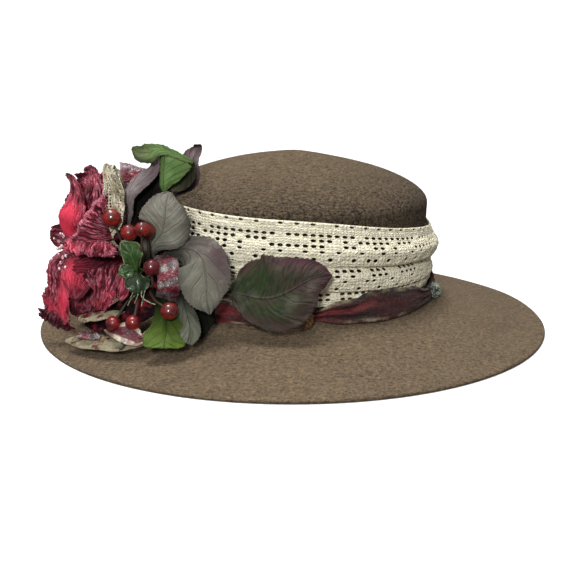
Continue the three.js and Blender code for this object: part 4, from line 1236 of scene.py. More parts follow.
LEAVES = [
    {"name": "leaf_large", "seed": 20, "slot": "leaf_velvet", "veins": 9, "slant": 0.16, "lobes": [
        {"facing": (-0.05, -1, 0.3), "fold": -0.14, "dish": 0.12, "saw": 1.4, "end": 0.8, "margin": 0.5,
         "wave": 1.5, "tint": [(0.42, -0.6, 0.22, 0.6, 1.0), (0.5, 0.3, 0.2, 0.4, 0.6)],
         "dark": [(0.36, 0.2, 0.1, 0.5, 0.35), (0.62, 0.75, 0.2, 0.2, 0.3)],
         "line": [(-88, -80, 48, 2, 2), (-62, -90, 47, 2, 2), (-42, -96, 48, 5, 4),
                  (-37.5, -99, 48.5, 15, 9), (-31, -101, 48, 23.5, 13), (-23, -104, 47, 28, 18),
                  (-13, -106, 48, 29, 23.5), (-3, -106, 52, 26, 23), (6, -105, 57, 20, 17.5),
                  (13, -103, 60, 14, 11.5), (20, -101, 61, 8, 7.5), (25.5, -100, 61, 0.5, 0.5)]}]},
    {"name": "leaf_side", "seed": 24, "slot": "leaf_velvet", "veins": 6, "slant": 0.2, "lobes": [
        {"facing": [(0, -0.8, 0.6), (0.1, -0.9, 0.5), (0, -1, 0.1), (0, -1, 0)], "fold": 0.03, "dish": 0.1,
         "saw": 2.4, "margin": 0.25, "end": 0.1, "wave": 1.2,
         "tint": [(0.5, -0.75, 0.2, 0.7, 1.0), (0.36, -0.3, 0.1, 0.8, 0.6)],
         "dark": [(0.32, 0.9, 0.14, 0.7, 0.6), (0.55, 1.0, 0.3, 0.25, 0.4), (0.1, 0, 0.2, 3, 0.85)],
         "line": [(-92, -76, 58, 3, 3), (-84, -80, 68, 5, 5), (-74, -86, 75, 9, 9), (-65, -95, 77, 13, 14),
                  (-59, -102, 74, 15, 17), (-57, -106, 67, 16, 18), (-56, -109, 59, 16, 18),
                  (-56, -111, 51, 12, 15), (-55, -112, 44, 7, 9), (-54, -111, 38, 0.8, 0.8)]}]},
    {"name": "leaf_upper", "seed": 28, "slot": "leaf_velvet", "veins": 6, "lobes": [
        {"facing": (0, -1, 0.25), "fold": 0.05, "dish": 0.14, "saw": 1.6, "margin": 0.35, "end": 0.3,
         "wave": 1.5, "tint": [(0.3, -0.4, 0.3, 0.8, 0.5)],
         "dark": [(0.62, 1.0, 0.3, 0.3, 0.7), (0.2, 0.6, 0.12, 0.5, 0.6)],
         "line": [(-100, -74, 62, 3, 3), (-97, -76, 70, 5, 3), (-92, -83, 79, 11, 8),
                  (-86, -89, 88, 16, 17), (-84, -92, 96, 17, 17), (-83, -92, 103, 15, 14),
                  (-82, -90, 109, 10, 10), (-80, -88, 114, 1.5, 1.5)]}]},
    {"name": "leaf_folded", "seed": 32, "slot": "leaf_green", "veins": 7, "slant": 0.25, "lobes": [
        {"facing": (0.1, -1, 0.3), "fold": 0.05, "dish": 0.05, "saw": 0.8, "margin": 0.1, "end": 0.0,
         "finish": 1, "tint": [(0.9, -0.9, 0.5, 0.4, 0.6)], "wave": 0.9, "dark": [(0.5, -1, 1, 0.3, 0.5)],
         "line": [(-84, -85, 114, 1, 1), (-84, -86, 117.5, 2.5, 5), (-84, -86, 121, 2.5, 10),
                  (-84, -85, 126, 2.5, 14.5), (-84, -83, 131, 2.5, 18), (-84, -81, 134, 2.5, 14),
                  (-84, -79, 137, 2.5, 7), (-84, -78, 139, 2, 3)]},
        {"facing": [(0.1, -0.8, 0.8), (0, -0.8, 0.8), (-0.1, -1, 0.3)], "dish": -0.15, "margin": 0.1,
         "end": 0.4, "finish": 1, "tint": [(0.85, 0, 0.3, 2, 0.9)], "wave": 0.8,
         "dark": [(0.7, -0.9, 0.25, 0.35, 0.8)],
         "line": [(-65, -80, 132.5, 1, 1), (-70, -82, 135, 2, 2), (-76, -83, 138, 2.5, 2.5),
                  (-82, -83, 140, 3, 3), (-88, -82, 140.5, 7, 4.5), (-93, -82, 139, 9, 6),
                  (-98, -83, 139, 7, 5), (-102, -83, 141, 3, 2.5), (-104, -83, 142, 0.6, 0.6)]},
        # An under-lobe painted mostly in shade.
        {"facing": (0.2, -1, -0.2), "dish": -0.1, "saw": 0.8, "margin": 0.8, "end": 0.2,
         "dark": [(0.4, 0, 0.8, 3, 0.9)],
         "line": [(-66, -70, 131, 1, 1), (-68, -72, 127, 4, 4), (-71, -75, 123, 7, 5.5),
                  (-77, -77, 119, 7, 5), (-84, -80, 116, 2, 2)]},
        {"facing": (0, -1, 0.2), "saw": 0.0, "margin": 0.5, "dark": [(0.5, 0, 3, 3, 0.8)],
         "line": [(-98, -66, 68, 1.5, 1.5), (-88, -68, 92, 1.5, 1.5), (-82, -76, 117, 3, 3)]}]},
    {"name": "leaf_tip", "seed": 36, "slot": "leaf_velvet", "veins": 6, "lobes": [
        {"facing": (0.2, -1, 0.1), "fold": 0.2, "saw": 0.8, "margin": 0.9, "end": 0.3, "wave": 0.8,
         "dark": [(1.0, 0, 0.1, 2, 1.0), (0.3, 0, 0.25, 3, 0.9)],
         "line": [(-98, -68, 66, 2, 2), (-90, -70, 92, 2, 2), (-80, -70, 108, 2, 2), (-68, -66, 115, 2, 3),
                  (-65.5, -63, 121, 2, 3), (-66.5, -61, 127, 5, 3.2), (-67, -60, 132, 7, 4),
                  (-65, -58, 136, 5, 3.5), (-64, -57, 138.5, 3.4, 3), (-64, -57, 141, 2.5, 2)]}]},
    {"name": "leaf_curled", "seed": 40, "slot": "leaf_velvet", "veins": 10, "slant": 0.6, "lobes": [
        {"facing": (-0.35, -1, 0.3), "dish": 0.15, "saw": 0.4, "margin": 0.3, "end": 0.6,
         "dark": [(0.1, 0, 0.12, 3, 0.8)],
         "line": [(-106, -72, 66, 1, 1), (-111, -76, 80, 1.5, 1.5), (-110, -80, 92, 1.5, 2),
                  (-108, -84, 101, 3, 2.5), (-107, -86, 109, 4, 3), (-105, -86, 114, 5, 4),
                  (-101, -85, 118, 6, 4.5), (-96, -83, 122, 6.5, 4.5), (-91, -81, 127, 4.5, 3.5),
                  (-88, -79, 134, 3.5, 3.5), (-86, -77, 139, 2, 2)]},
        # A lobe painted wholly in shade, in the hollow behind the curl.
        {"facing": (0.2, -1, 0.2), "dish": -0.35, "saw": 0.0, "margin": 0.0, "end": 0.0,
         "dark": [(0.5, 0, 2, 4, 1.0)],
         "line": [(-102, -74, 50, 9, 9), (-102, -74, 66, 11, 22), (-100, -74, 84, 12, 24),
                  (-98, -74, 100, 12, 20), (-93, -74, 114, 12, 13), (-85, -73, 124, 6, 8)]}]},
    {"name": "leaf_lower_green", "seed": 44, "slot": "leaf_green", "veins": 5, "lobes": [
        {"facing": [(0, -0.7, 0.7), (0, -1, 0.5), (0, -1, 0.5)], "fold": 0.1, "margin": 0.3, "end": 0.0,
         "finish": 2, "tint": [(0.5, 0.1, 0.2, 0.1, 0.6)], "wave": 1.4, "dark": [(0.1, 0, 0.5, 3, 1.0)],
         "line": [(-98, -78, 52, 2, 2), (-90, -94, 46, 3, 3), (-85, -104, 41, 6, 6), (-83, -110, 36, 9, 9),
                  (-82, -116, 30, 11, 12), (-83, -121, 24, 13, 14), (-83, -123.5, 21, 13, 13.5),
                  (-83, -124.8, 19.6, 9, 10)]}]},
    {"name": "leaf_lower_grey", "seed": 48, "slot": "leaf_velvet", "veins": 6, "lobes": [
        {"facing": [(0, -0.6, 0.8), (0, -1, 0.4), (0, -1, 0.3)], "fold": 0.2, "saw": 0.8, "margin": 0.3,
         "end": 0.2, "wave": 1.3, "dark": [(0.62, -0.9, 0.15, 0.4, 0.6), (0.2, 0, 0.36, 3, 1.0)],
         "line": [(-94, -76, 52, 2, 2), (-80, -92, 50, 2, 2), (-73, -103, 46, 3, 3.5),
                  (-70, -109, 40, 5.5, 5.5), (-67.5, -113, 33, 6.5, 6), (-67, -117, 27, 7, 6.5),
                  (-69, -120, 21, 4, 4.5)]},
        # A lobe painted wholly in shade, in the dark gap beside the grey leaf.
        {"facing": (0, -1, 0.25), "saw": 0.8, "margin": 0.3, "end": 0.2, "dark": [(0.5, 0, 5, 5, 1.0)],
         "line": [(-72, -82, 58, 3, 3), (-67, -90, 50, 12, 9), (-64, -93, 40, 12, 10),
                  (-63, -98, 29, 10, 9), (-66, -101, 19, 5, 5)]}]},
]


def make_leaves():
    made = {name: leaf_finish(f"{name} leaf", *tints, *(BROAD_VEINS if name == "leaf_large" else FINE_VEINS))
            for name, tints in LEAF_TINTS.items()}
    green = [made[name] for name in ("olive", "olive", "fresh", "olive", "lower", "lower")]
    for row in LEAVES:
        velvet = [made.get(row["name"]), made["leaf_lower_grey"]]
        make_leaf(row, green if row["slot"] == "leaf_green" else velvet)


GLOSSY_LEAVES = [
    {"name": "glossy_leaf_1", "seed": 52, "facing": (0.1, -1, 0.2),
     "line": [(-102, -86, 58, 1, 1), (-103, -96, 63, 1.5, 1.5), (-103.5, -99, 69, 5, 4.5),
              (-104.5, -101, 73, 6, 7.5), (-106, -102, 78, 6, 7.5), (-109, -102, 82, 3.5, 4),
              (-111, -102, 84.5, 0.5, 0.5)]},
    {"name": "glossy_leaf_2", "seed": 53, "facing": (-0.1, -1, 0.3),
     "line": [(-100, -86, 60, 1, 1), (-103, -96, 64.5, 1.5, 1.5), (-106, -99, 65, 4, 5),
              (-109, -101, 64, 4.5, 5.5), (-111, -102, 63.5, 4, 4.5), (-113.5, -102, 62, 0.8, 0.8)]},
    {"name": "glossy_leaf_3", "seed": 54, "facing": (0.2, -1, -0.3),
     "line": [(-103, -86, 64, 1, 1), (-103, -94, 63, 2, 2), (-103, -98, 60, 7, 6.5),
              (-102.5, -100, 57, 8.5, 8.5), (-102, -101, 54, 8, 7.5), (-102, -101, 50, 4.5, 4.5),
              (-102, -100, 47, 0.5, 0.5)]},
]


def glossy_finish(name, light):
    f = Finish(name)
    u, v = f.uv()
    side = (u - 0.5).absolute() * 2.0
    rib = ((v - side * 0.3) * 6.0).part() - 0.5
    vein = 1 - rib.absolute().ramp(0.0, 0.14)
    edge = side.ramp(0.86, 0.98)
    middle = 1 - side.ramp(0.0, 0.06)
    cloud = f.specks(160, 3.0, 0.6)
    base = f.mix(cloud.ramp(0.3, 0.7), shade("glossy"), tint("wax lit"))
    base = f.mix(0.25 * vein + 0.5 * middle, base, tint("wax vein"))
    base = f.mix(edge * 0.8, base, tint("wax edge"))
    base = f.mix(1 - light, base, tint("wax shade"))
    normal = f.bump(0.5 * cloud - 0.5 * vein + middle, 0.0006, 0.5)
    return f.surface(Base_Color=base, Roughness=0.42, Normal=normal, Coat_Weight=0.15)


def make_glossy_leaves():
    # The second copy is painted in shade, for the third leaf deep in the posy.
    lit, deep = glossy_finish("waxed leaf", 1.0), glossy_finish("waxed leaf, painted shade", 0.3)
    for row in GLOSSY_LEAVES:
        finish = deep if row["name"] == "glossy_leaf_3" else lit
        place = blade(row["line"], row["facing"], 0.3)
        seed = row["seed"]

        def at(u, t):
            v = 2 * u - 1
            relief = 0.9 * grain(v * 2, t * 4, seed) + 0.9 * abs(v) ** 3 * math.sin(14 * t + seed)
            notch = abs((4.0 * t) % 1.0 - 0.3) - 0.3
            return place(v * (1 + 0.25 * notch * smooth(0.6, 1, abs(v))), t, relief)

        bm, name = new_sheet(20, 40, at), row["name"]
        add_piece(f"{name}_wax", bm, [finish, finish], [name], "leaf_glossy", sizes().silk)


# The last column is painted shade: how much darker each berry's lacquer is made where it sits in shadow.
BERRIES = [  # at, half size, middle of the stem, darkness
    ((-117, -97, 99), 6.0, (-111, -90, 78), 0.0),
    ((-106, -99, 89.5), 5.5, (-104, -92, 72), 0.25),
    ((-97, -102, 92.5), 4.9, (-99, -95, 72), 0.2),
    ((-95.5, -90, 88.5), 5.0, (-96, -85, 72), 0.3),
    ((-91.5, -105, 68), 5.4, (-93, -98, 53), 0.85),
    ((-80, -114, 41), 5.8, (-92, -100, 46), 0.3),
    ((-119, -102, 29), 5.0, (-110, -92, 42), 0.35),
    ((-105, -107, 31), 5.2, (-102, -96, 45), 0.35),
]
# Colours of a berry in full painted shade.
BERRY_DEEP, BERRY_DEEP_SHADED = (0.055, 0.008, 0.006), (0.02, 0.002, 0.006)
BERRY_SHADED = (0.10, 0.006, 0.012)
BERRY_DIMPLES = ((-1.0, 0.16, 0.10), (1.0, -0.05, 0.05))  # at the foot and the top: depth, spread
STEM_ROOT = (-101, -69, 54)
STEM_APART = 2.6
BUNDLE_ENDS = (-87, -68, 47), (-120, -64, 63)
BUNDLE_HALF = 8


def berry_finish(name, painted_shade):
    f = Finish(name)
    cloud = f.specks(190, 4.0, 0.6)
    speck = f.cells(700).ramp(0.0, 0.25)
    # Painted shade: each berry gets its own darker copy of one lacquer.
    deep = [lerp(a, b, painted_shade) for a, b in zip(BERRY_DEEP, BERRY_DEEP_SHADED)]
    light = [lerp(a, b, painted_shade) for a, b in zip(shade("berry"), BERRY_SHADED)]
    base = f.mix(cloud.ramp(0.3, 0.7), (*light, 1), (*deep, 1))
    base = f.mix((1 - speck) * 0.5, base, (*deep, 1))
    normal = f.bump(cloud, 0.0003, 0.5)
    return f.surface(Base_Color=base, Roughness=0.3 + 0.15 * cloud, Normal=normal, Coat_Weight=0.6,
                     Coat_Roughness=0.04, Specular_IOR_Level=0.35)


def stem_finish(name="bound wire", dye="stem"):
    f = Finish(name)
    wound = f.specks(800, 3.0, 0.6, f.stretched((1, 1, 3)))
    base = f.mix(wound.ramp(0.35, 0.65), shade(dye), tint("wire winding"))
    return f.surface(Base_Color=base, Roughness=0.65, Normal=f.bump(wound, 0.0005, 0.6))


def make_berries():
    finishes = {dark: berry_finish(f"berry lacquer, painted shade {int(100 * dark)}", dark) for _, _, _, dark in BERRIES}
    for k, (at, half, stem, dark) in enumerate(BERRIES):
        bm = ball(half, 36, 24)
        away = (Vector(at) - Vector(stem)).normalized()
        for point in bm.verts:
            height = point.co.z / (half * MM)
            dimple = sum(deep * hill(height - pole, spread) for pole, deep, spread in BERRY_DIMPLES)
            bulge = 1 + 0.02 * grain(point.co.x * 300, point.co.y * 300, k)
            point.co *= Vector((bulge, bulge, 1.0 - dimple))
        turn = Vector((0, 0, 1)).rotation_difference(away).to_matrix()
        bmesh.ops.rotate(bm, cent=(0, 0, 0), verts=bm.verts, matrix=turn)
        name = f"berry_{k + 1}"
        add_piece(f"{name}_lacquer", moved(bm, at), [finishes[dark]], [name], "berry_red")


def make_stems():
    finish = stem_finish()
    half = sizes().stem / MM
    for k, (at, size, stem, _) in enumerate(BERRIES):
        root = Vector(STEM_ROOT)
        root.x += (k % 4 - 1.5) * STEM_APART
        root.z += (0.6 if k < 4 else -0.6) * STEM_APART
        top, middle = Vector(at), Vector(stem)
        top = top.lerp(middle, (size - 0.3) / (top - middle).length)
        bm = tube([root, middle, top], lambda t: half * (1 + 0.5 * smooth(0.9, 1, t)))
        name = f"berry_stem_{k + 1}"
        add_piece(f"{name}_wire", bm, [finish], [name], "stem_brown")
    make_bundle(finish)


def make_bundle(finish):
    """The wound bundle that holds the stems, with its green tendrils."""
    start, end = [Vector(at) for at in BUNDLE_ENDS]
    axis = (end - start).normalized()
    side = axis.cross(Vector((0, 0, 1))).normalized()
    other = axis.cross(side)

    def place(u, v):
        wrap = 0.5 * crest(6 * v + u)
        radius = 0.0 if v in (0.0, 1.0) else BUNDLE_HALF * (0.6 + 0.4 * math.sin(math.pi * v)) + wrap
        return start.lerp(end, v) + radius * ring(2 * math.pi * u, side, other)

    parts = [(new_sheet(32, 40, place, wrap=True), 0)]
    parts += [(tube(line, half, 6, 20), 1) for line, half in TENDRILS]
    add_piece("stem_bundle_bound", joined(parts), [finish, stem_finish("green wire", "tendril")],
              ["stem_bundle"], "stem_brown")


TENDRILS = [  # points, half size
    ([(-98, -76, 54), (-101, -94, 52), (-102, -102, 48), (-104, -104, 43)], 0.35),
    ([(-98, -76, 52), (-99, -96, 52), (-99, -104, 48), (-94, -108, 45.5), (-89, -111, 44.5)], 0.45),
    ([(-96, -76, 52), (-97, -96, 52), (-98, -104, 47), (-99, -108, 42)], 0.35),
    ([(-97, -76, 50), (-100, -94, 50), (-106, -101, 46), (-109, -102, 41)], 0.3),
    ([(-100, -76, 54), (-104, -94, 54), (-105, -101, 50), (-107, -103, 46)], 0.3),
]
STAMENS = [  # tip of each stamen, and its half size
    ((-153, -74, 78), 1.0), ((-156, -75, 75), 1.2), ((-150, -78, 80), 0.9), ((-158, -72, 73), 1.1),
    ((-154, -77, 72), 1.2), ((-151, -80, 75), 1.0), ((-159, -74, 69), 1.0), ((-155, -79, 68), 1.1),
    ((-160, -71, 66), 0.9), ((-157, -77, 64), 1.0), ((-152, -82, 70), 1.1), ((-161, -73, 62), 0.8),
    ((-156, -68, 80), 1.0), ((-160, -66, 76), 1.0), ((-158, -62, 80), 1.0), ((-162, -62, 70), 1.0),
    ((-158, -78, 60), 0.9), ((-153, -82, 62), 1.0), ((-149, -82, 78), 0.7), ((-162, -70, 79), 0.7),
    ((-157, -72, 83), 0.7), ((-147, -84, 73), 0.7), ((-163, -76, 66), 0.7), ((-127, -72, 115), 1.5),
    ((-150, -70, 84), 0.8),
]
STAMEN_HEARTS = (-143, -66, 70), (-124, -66, 96)  # of the tuft, and of the single one above it
HIGH_STAMEN = 100
THREAD_HALF = 0.28
CORE_AT, CORE_HALF = (-145, -63, 69), 6.2


def make_stamens():
    pearl = Finish("stamen pearl")
    mottle = pearl.specks(700, 2.0, 0.5)
    base = pearl.mix(mottle.ramp(0.4, 0.65), shade("pearl"), tint("pearl mottle"))
    pearl.surface(Base_Color=base, Roughness=0.25, Coat_Weight=0.4)
    thread = Finish("stamen thread")
    fleck = thread.specks(900, 2.0, 0.5)
    base = thread.mix(fleck, tint("thread lit"), tint("thread shade"))
    thread.surface(Base_Color=base, Roughness=0.5)
    parts = []
    for k, (tip, half) in enumerate(STAMENS):
        end = Vector(tip)
        start = Vector(STAMEN_HEARTS[end.z > HIGH_STAMEN])
        middle = start.lerp(end, 0.5) + Vector((0.5, 0.3, 1.2)) * (1 if k % 2 else -1)
        parts.append((tube([start, middle, end], THREAD_HALF, 6, 14), 1))
        bead = ball(half, 14, 10)
        bmesh.ops.scale(bead, vec=(1, 1, 1.25), verts=bead.verts)
        parts.append((moved(bead, tip), 0))
    core = ball(CORE_HALF, 24, 16)
    for point in core.verts:
        point.co *= 1 + 0.14 * grain(point.co.x * 900, point.co.y * 900, point.co.z * 900)
    moved(core, CORE_AT)
    parts.append((core, 1))
    add_piece("flower_centre_stamens", joined(parts), [pearl.material, thread.material],
              ["flower_centre"], "stamen_pink")


# Loops and ends

STRAPS = [
    {"name": "ribbon_loop_top", "flat": (0.016, 0.075), "rests": ["leaf_curled_sheet"], "look": "halves",
     "lobes": [
        {"facing": (0.1, -1, 0.1),
         "line": [(-106, -68, 68, 5, 5), (-110, -70, 90, 6, 6), (-109, -71, 108, 7, 7),
                  (-107, -71.5, 118, 7, 7), (-107, -72, 124, 6, 6)]},
        {"facing": (0, -1, 0.15),
         "line": [(-114, -74, 124.5, 7, 6.2), (-110, -74, 124.7, 6.2, 6), (-106, -74, 124.8, 5, 5.2),
                  (-101, -74, 125.2, 3, 3.2), (-96, -74, 125.6, 1.2, 1.4), (-93, -74, 126, 0.5, 0.5)]}]},
    {"name": "ribbon_loop_side", "flat": (0.015, 0.085), "rests": ["stem_bundle_bound"], "repeat": 2.4,
     "look": "bands", "lobes": [
        {"facing": [(0, -0.7, -0.7), (0, -1, -0.2), (0, -1, 0.2), (0, 0, 1)],
         "line": [(-88, -80, 38, 7, 7), (-84, -95, 43, 7.5, 7.5), (-81, -104, 55, 7.5, 7.5),
                  (-82, -99, 68, 7.5, 7.5), (-88, -80, 70, 6, 6)]}]},
    {"name": "ribbon_tail_upper", "flat": (0.018, 0.09), "rests": ["stem_bundle_bound"], "look": "pale",
     "lobes": [
        {"facing": [(0, -0.4, 1), (0, -0.2, 1), (0, -0.2, 1)],
         "line": [(-104, -76, 44, 5, 5), (-110, -84, 38, 5, 5), (-118, -90, 34, 5, 5),
                  (-127, -92, 32, 6, 6), (-136, -92, 30.5, 6, 6), (-142, -92, 29.5, 4.5, 4.5),
                  (-144, -92, 29, 1.5, 1.5)]},
        # This lobe wears the maroon ribbon in painted shade, a dark sheet behind the berries.
        {"facing": (0, -1, 0.3), "finish": 1,
         "line": [(-84, -84, 56, 6, 6), (-92, -88, 48, 11, 10), (-102, -91, 40, 12, 12),
                  (-112, -92, 34, 10, 9), (-124, -90, 29, 8, 7), (-136, -86, 25, 6, 6),
                  (-142, -84, 24, 2, 2)]}]},
    {"name": "ribbon_tail_lower", "flat": (0.012, 0.1), "rests": ["hood_of_felt"], "look": "pale",
     "lobes": [
        {"facing": [(0.2, -0.6, 1), (0, -0.6, 1), (0, -0.6, 1)],
         "line": [(-88, -86, 34, 4, 4), (-90, -101, 27, 4, 4), (-96, -109, 22, 4, 4),
                  (-106, -111, 18, 4.5, 4.5), (-118, -107, 15, 5, 5.5), (-128, -101, 15, 6.5, 7),
                  (-138, -95, 14, 6.5, 6.5), (-147, -90, 12.5, 4.5, 4.5), (-155, -87, 11.5, 0.8, 0.8)]},
        {"facing": (0, -0.8, 1), "finish": 2,
         "line": [(-129, -99, 18, 1.5, 1.5), (-134, -98, 19, 3, 3), (-140, -96, 19, 3.2, 3.2),
                  (-145, -94, 17.5, 1, 1)]}]},
    {"name": "ribbon_fold", "flat": (0.01, 0.042), "rests": ["hood_of_felt"], "look": "panel", "lobes": [
        {"facing": (-0.1, -0.8, 0.7),
         "line": [(-126, -92, 22, 2, 2), (-120, -102, 24, 3.5, 4), (-113, -109, 25.5, 7.5, 6.5),
                  (-107, -112, 24.5, 8, 7), (-101, -113, 22, 5, 5.5), (-97, -112, 20.5, 1, 1)]}]},
]


def strap_lobe(lobe, number, start, repeat):
    """One straight run of a ribbon, a little crumpled."""
    place = blade(lobe["line"], lobe["facing"], 0.0, 0.08)
    long = line_length(lobe["line"]) * MM

    def at(u, t):
        v = 2 * u - 1
        relief = 0.9 * grain(v * 2, t * 6, 60 + number) + 0.5 * grain(v * 5, t * 16, 70 + number)
        return place(v, t, relief)

    sheet = new_sheet(22, 70, at, chart=lambda u, t: (start + repeat * long * t, u))
    return sheet, lobe.get("finish", 0)


def make_straps():
    bands, halves, panel = [lurex_finish(f"lurex {look}", look) for look in LUREX_COLOURS]
    pale = [tartan_finish("tartan ends", 1.0), dim_finish(), bands]
    finishes = {"bands": [bands], "halves": [halves], "panel": [panel], "pale": pale}
    for number, row in enumerate(STRAPS):
        name, repeat = row["name"], row.get("repeat", 1.0)
        bm = joined([strap_lobe(lobe, number, 0.017 * (number + k), repeat)
                     for k, lobe in enumerate(row["lobes"])])
        look = finishes[row["look"]]
        piece = add_piece(f"{name}_tartan", bm, look, [name], "ribbon_tartan", sizes().ribbon)
        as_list(row["rests"])


LOOP_LINE = [
    (-112, -74, 66, 3, 3), (-120, -84, 78, 3, 3), (-121, -89, 86, 3, 3.5), (-118, -91, 94, 5, 6),
    (-116, -91, 102, 7, 7), (-116, -90, 110, 7, 7.2), (-116, -89, 117, 6.8, 7), (-118, -87, 123, 5, 4.5),
    (-120, -85, 127.5, 3.5, 3.5), (-119, -80, 129, 3, 3), (-117, -76, 122, 4, 4), (-115, -75, 110, 4, 4),
]
LOOP_FACING = [(-0.3, -1, 0.4), (-0.1, -1, 0.1), (-0.1, -1, 0.1), (-0.1, -1, 0.1), (0, -0.2, 1), (0, 1, 0.1)]
LOOP_CHART = [".ooo.oo.", ".oo.oo..", ".ooo.o.,", ".o.oo.o."]
LOOP_CELLS = (8, 44)
LOOP_CUT = (0.014, 0.088)
LOOP_WALL = 0.0009
LOOSE_YARNS = 12
YARN_HALF = 0.42
YARN_ENDS = ((-121, -83, 133.5), (-124, -82, 130), (-116, -84, 130.5))


def make_lace_loop(lace):
    """The loop of lace at the posy's top, with yarns that have come loose."""
    place = blade(LOOP_LINE, LOOP_FACING, 0.0, -0.25)

    def crumpled(u, t, raised):
        v = 2 * u - 1
        wobble = 1.6 * grain(v * 2.5, t * 12, 80) + 0.8 * grain(v * 6, t * 30, 82)
        return place(v * (1 + 0.16 * grain(t * 20, 1, 81)), t, wobble + 0.5 * raised)

    bm = crochet_grid(*LOOP_CELLS, *LOOP_CUT, LOOP_CHART)
    shape_crochet(bm, crumpled, *LOOP_CELLS, False)
    piece = add_piece("lace_loop_crochet", bm, [lace], ["lace_loop"], "lace_cream", LOOP_WALL, 1)
    parts = []
    for k in range(LOOSE_YARNS):
        side, start = 0.8 * grain(k, 0, 83), 0.25 + 0.35 * (k / LOOSE_YARNS)
        yarn = []
        for j in range(6):
            v = side + 0.7 * grain(k, j * 0.7, 84)
            yarn.append(place(v, start + 0.05 * j, 1.6 + 0.8 * grain(k, j, 85)))
        parts.append((tube(yarn, YARN_HALF, 6, 24), 0))
    for tip in YARN_ENDS:
        line = [(-118, -84, 124), (-119, -84, 128), tip]
        parts.append((tube(line, lambda t: 0.4 * (1 - 0.7 * t), 6, 12), 0))
    yarns = add_piece("lace_loop_yarns", joined(parts), [lace], ["lace_loop"], "lace_cream")


def gold_finish():
    f = Finish("brown and gold ribbon")
    u, v = f.uv()
    rows = (u * 9.0 + v * 5.0).wave()
    fleck = f.specks(1500, 3.0, 0.7)
    base = f.mix(rows.ramp(0.3, 0.7), shade("knot"), tint("knot red"))
    base = f.mix(fleck.ramp(0.5, 0.62) * 0.7, base, shade("gold"))
    normal = f.bump(fleck + rows, 0.0008, 0.6)
    return f.surface(Base_Color=base, Roughness=0.4, Metallic=0.35 * fleck, Normal=normal)


def plaid_finish():
    f = Finish("green and white plaid")
    blotch = f.specks(230, 3.0, 0.6)
    base = f.mix(blotch.ramp(0.46, 0.58), tint("plaid green"), tint("plaid grey"))
    base = f.mix(f.specks(900, 2.0, 0.7).ramp(0.56, 0.66), base, tint("plaid white"))
    return f.surface(Base_Color=base, Roughness=0.5, Normal=f.bump(f.specks(900), 0.0006, 0.5))


KNOTS = [  # name, finish, at, half sizes, slot, seed
    ("ribbon_knot_front", gold_finish, (9, -96, 30), (4.6, 4.6, 6.6), "knot_gold", 90),
    ("ribbon_knot_back", plaid_finish, (105.5, -20, 28.5), (4.2, 4.8, 6.6), "ribbon_tartan", 95),
]


def make_knots():
    for name, finish, at, half, slot, seed in KNOTS:
        def place(u, v):
            up = math.pi * (v - 0.5)
            angle = 2 * math.pi * u
            crumple = grain(2.2 * math.cos(angle), 3 * v + 2.2 * math.sin(angle), seed)
            pleat = 1 + 0.14 * math.sin(5 * angle + 7 * v) * math.cos(up) + 0.35 * crumple
            out = (math.cos(up) ** 0.8 if abs(up) < 1.57 else 0.0) * pleat
            reach = Vector((out * math.cos(angle), out * math.sin(angle), math.sin(up)))
            return Vector(at) + reach * Vector(half)

        bm = new_sheet(56, 40, place, wrap=True)
        add_piece(f"{name}_wrap", bm, [finish()], [name], slot)


# Studio

CAMERA_RISE = 17.6
CAMERA_FAR = 0.75
LENS = 60.27
SHIFT = (-0.0047, 0.0490)
FLOOR_HALF = 40.0
FLOOR_DROP = 0.0003
SKY = (  # share of the way from straight down to straight up, brightness
    (0.0, 0.06), (0.485, 0.10), (0.49, 1.1), (0.515, 1.1), (0.53, 0.12), (0.75, 0.22), (1.0, 1.0),
)
SUN_POWER, SUN_WIDTH, SUN_AIM = 2.8, 24, (0.14, -0.02, -1.0)
BOX_POWER, BOX_SIZE, BOX_AT, BOX_AIM = 8.0, 0.16, (-0.15, -1.05, 0.50), (0.12, 0.95, -0.36)


def aim(name, light, direction):
    """A light that shines along a direction."""
    lamp = bpy.data.objects.new(name, light)
    lamp.rotation_mode = "QUATERNION"
    lamp.rotation_quaternion = Vector(direction).to_track_quat("-Z", "Y")
    bpy.context.scene.collection.objects.link(lamp)
    return lamp


def make_camera(scene):
    camera = bpy.data.cameras.new("camera")
    camera.lens, camera.sensor_width = LENS, 36.0
    camera.shift_x, camera.shift_y = SHIFT
    camera.clip_start, camera.clip_end = 0.01, 100.0
    holder = bpy.data.objects.new("camera", camera)
    rise = math.radians(CAMERA_RISE)
    holder.location = (0.0, -CAMERA_FAR * math.cos(rise), CAMERA_FAR * math.sin(rise))
    holder.rotation_euler = (math.pi / 2 - rise, 0.0, 0.0)
    scene.collection.objects.link(holder)
    scene.camera = holder


def make_floor():
    bm = bmesh.new()
    bmesh.ops.create_grid(bm, x_segments=1, y_segments=1, size=FLOOR_HALF)
    bmesh.ops.translate(bm, vec=(0, 0, -FLOOR_DROP), verts=bm.verts)
    paper = Finish("white paper")
    base = paper.mix(paper.specks(30, 3.0, 0.5), tint("paper"), tint("paper shade"))
    paper.surface(Base_Color=base, Roughness=0.9, Specular_IOR_Level=0.1)
    floor = new_object("floor", bm, [paper.material])
    floor.visible_diffuse = False
    floor.visible_glossy = False


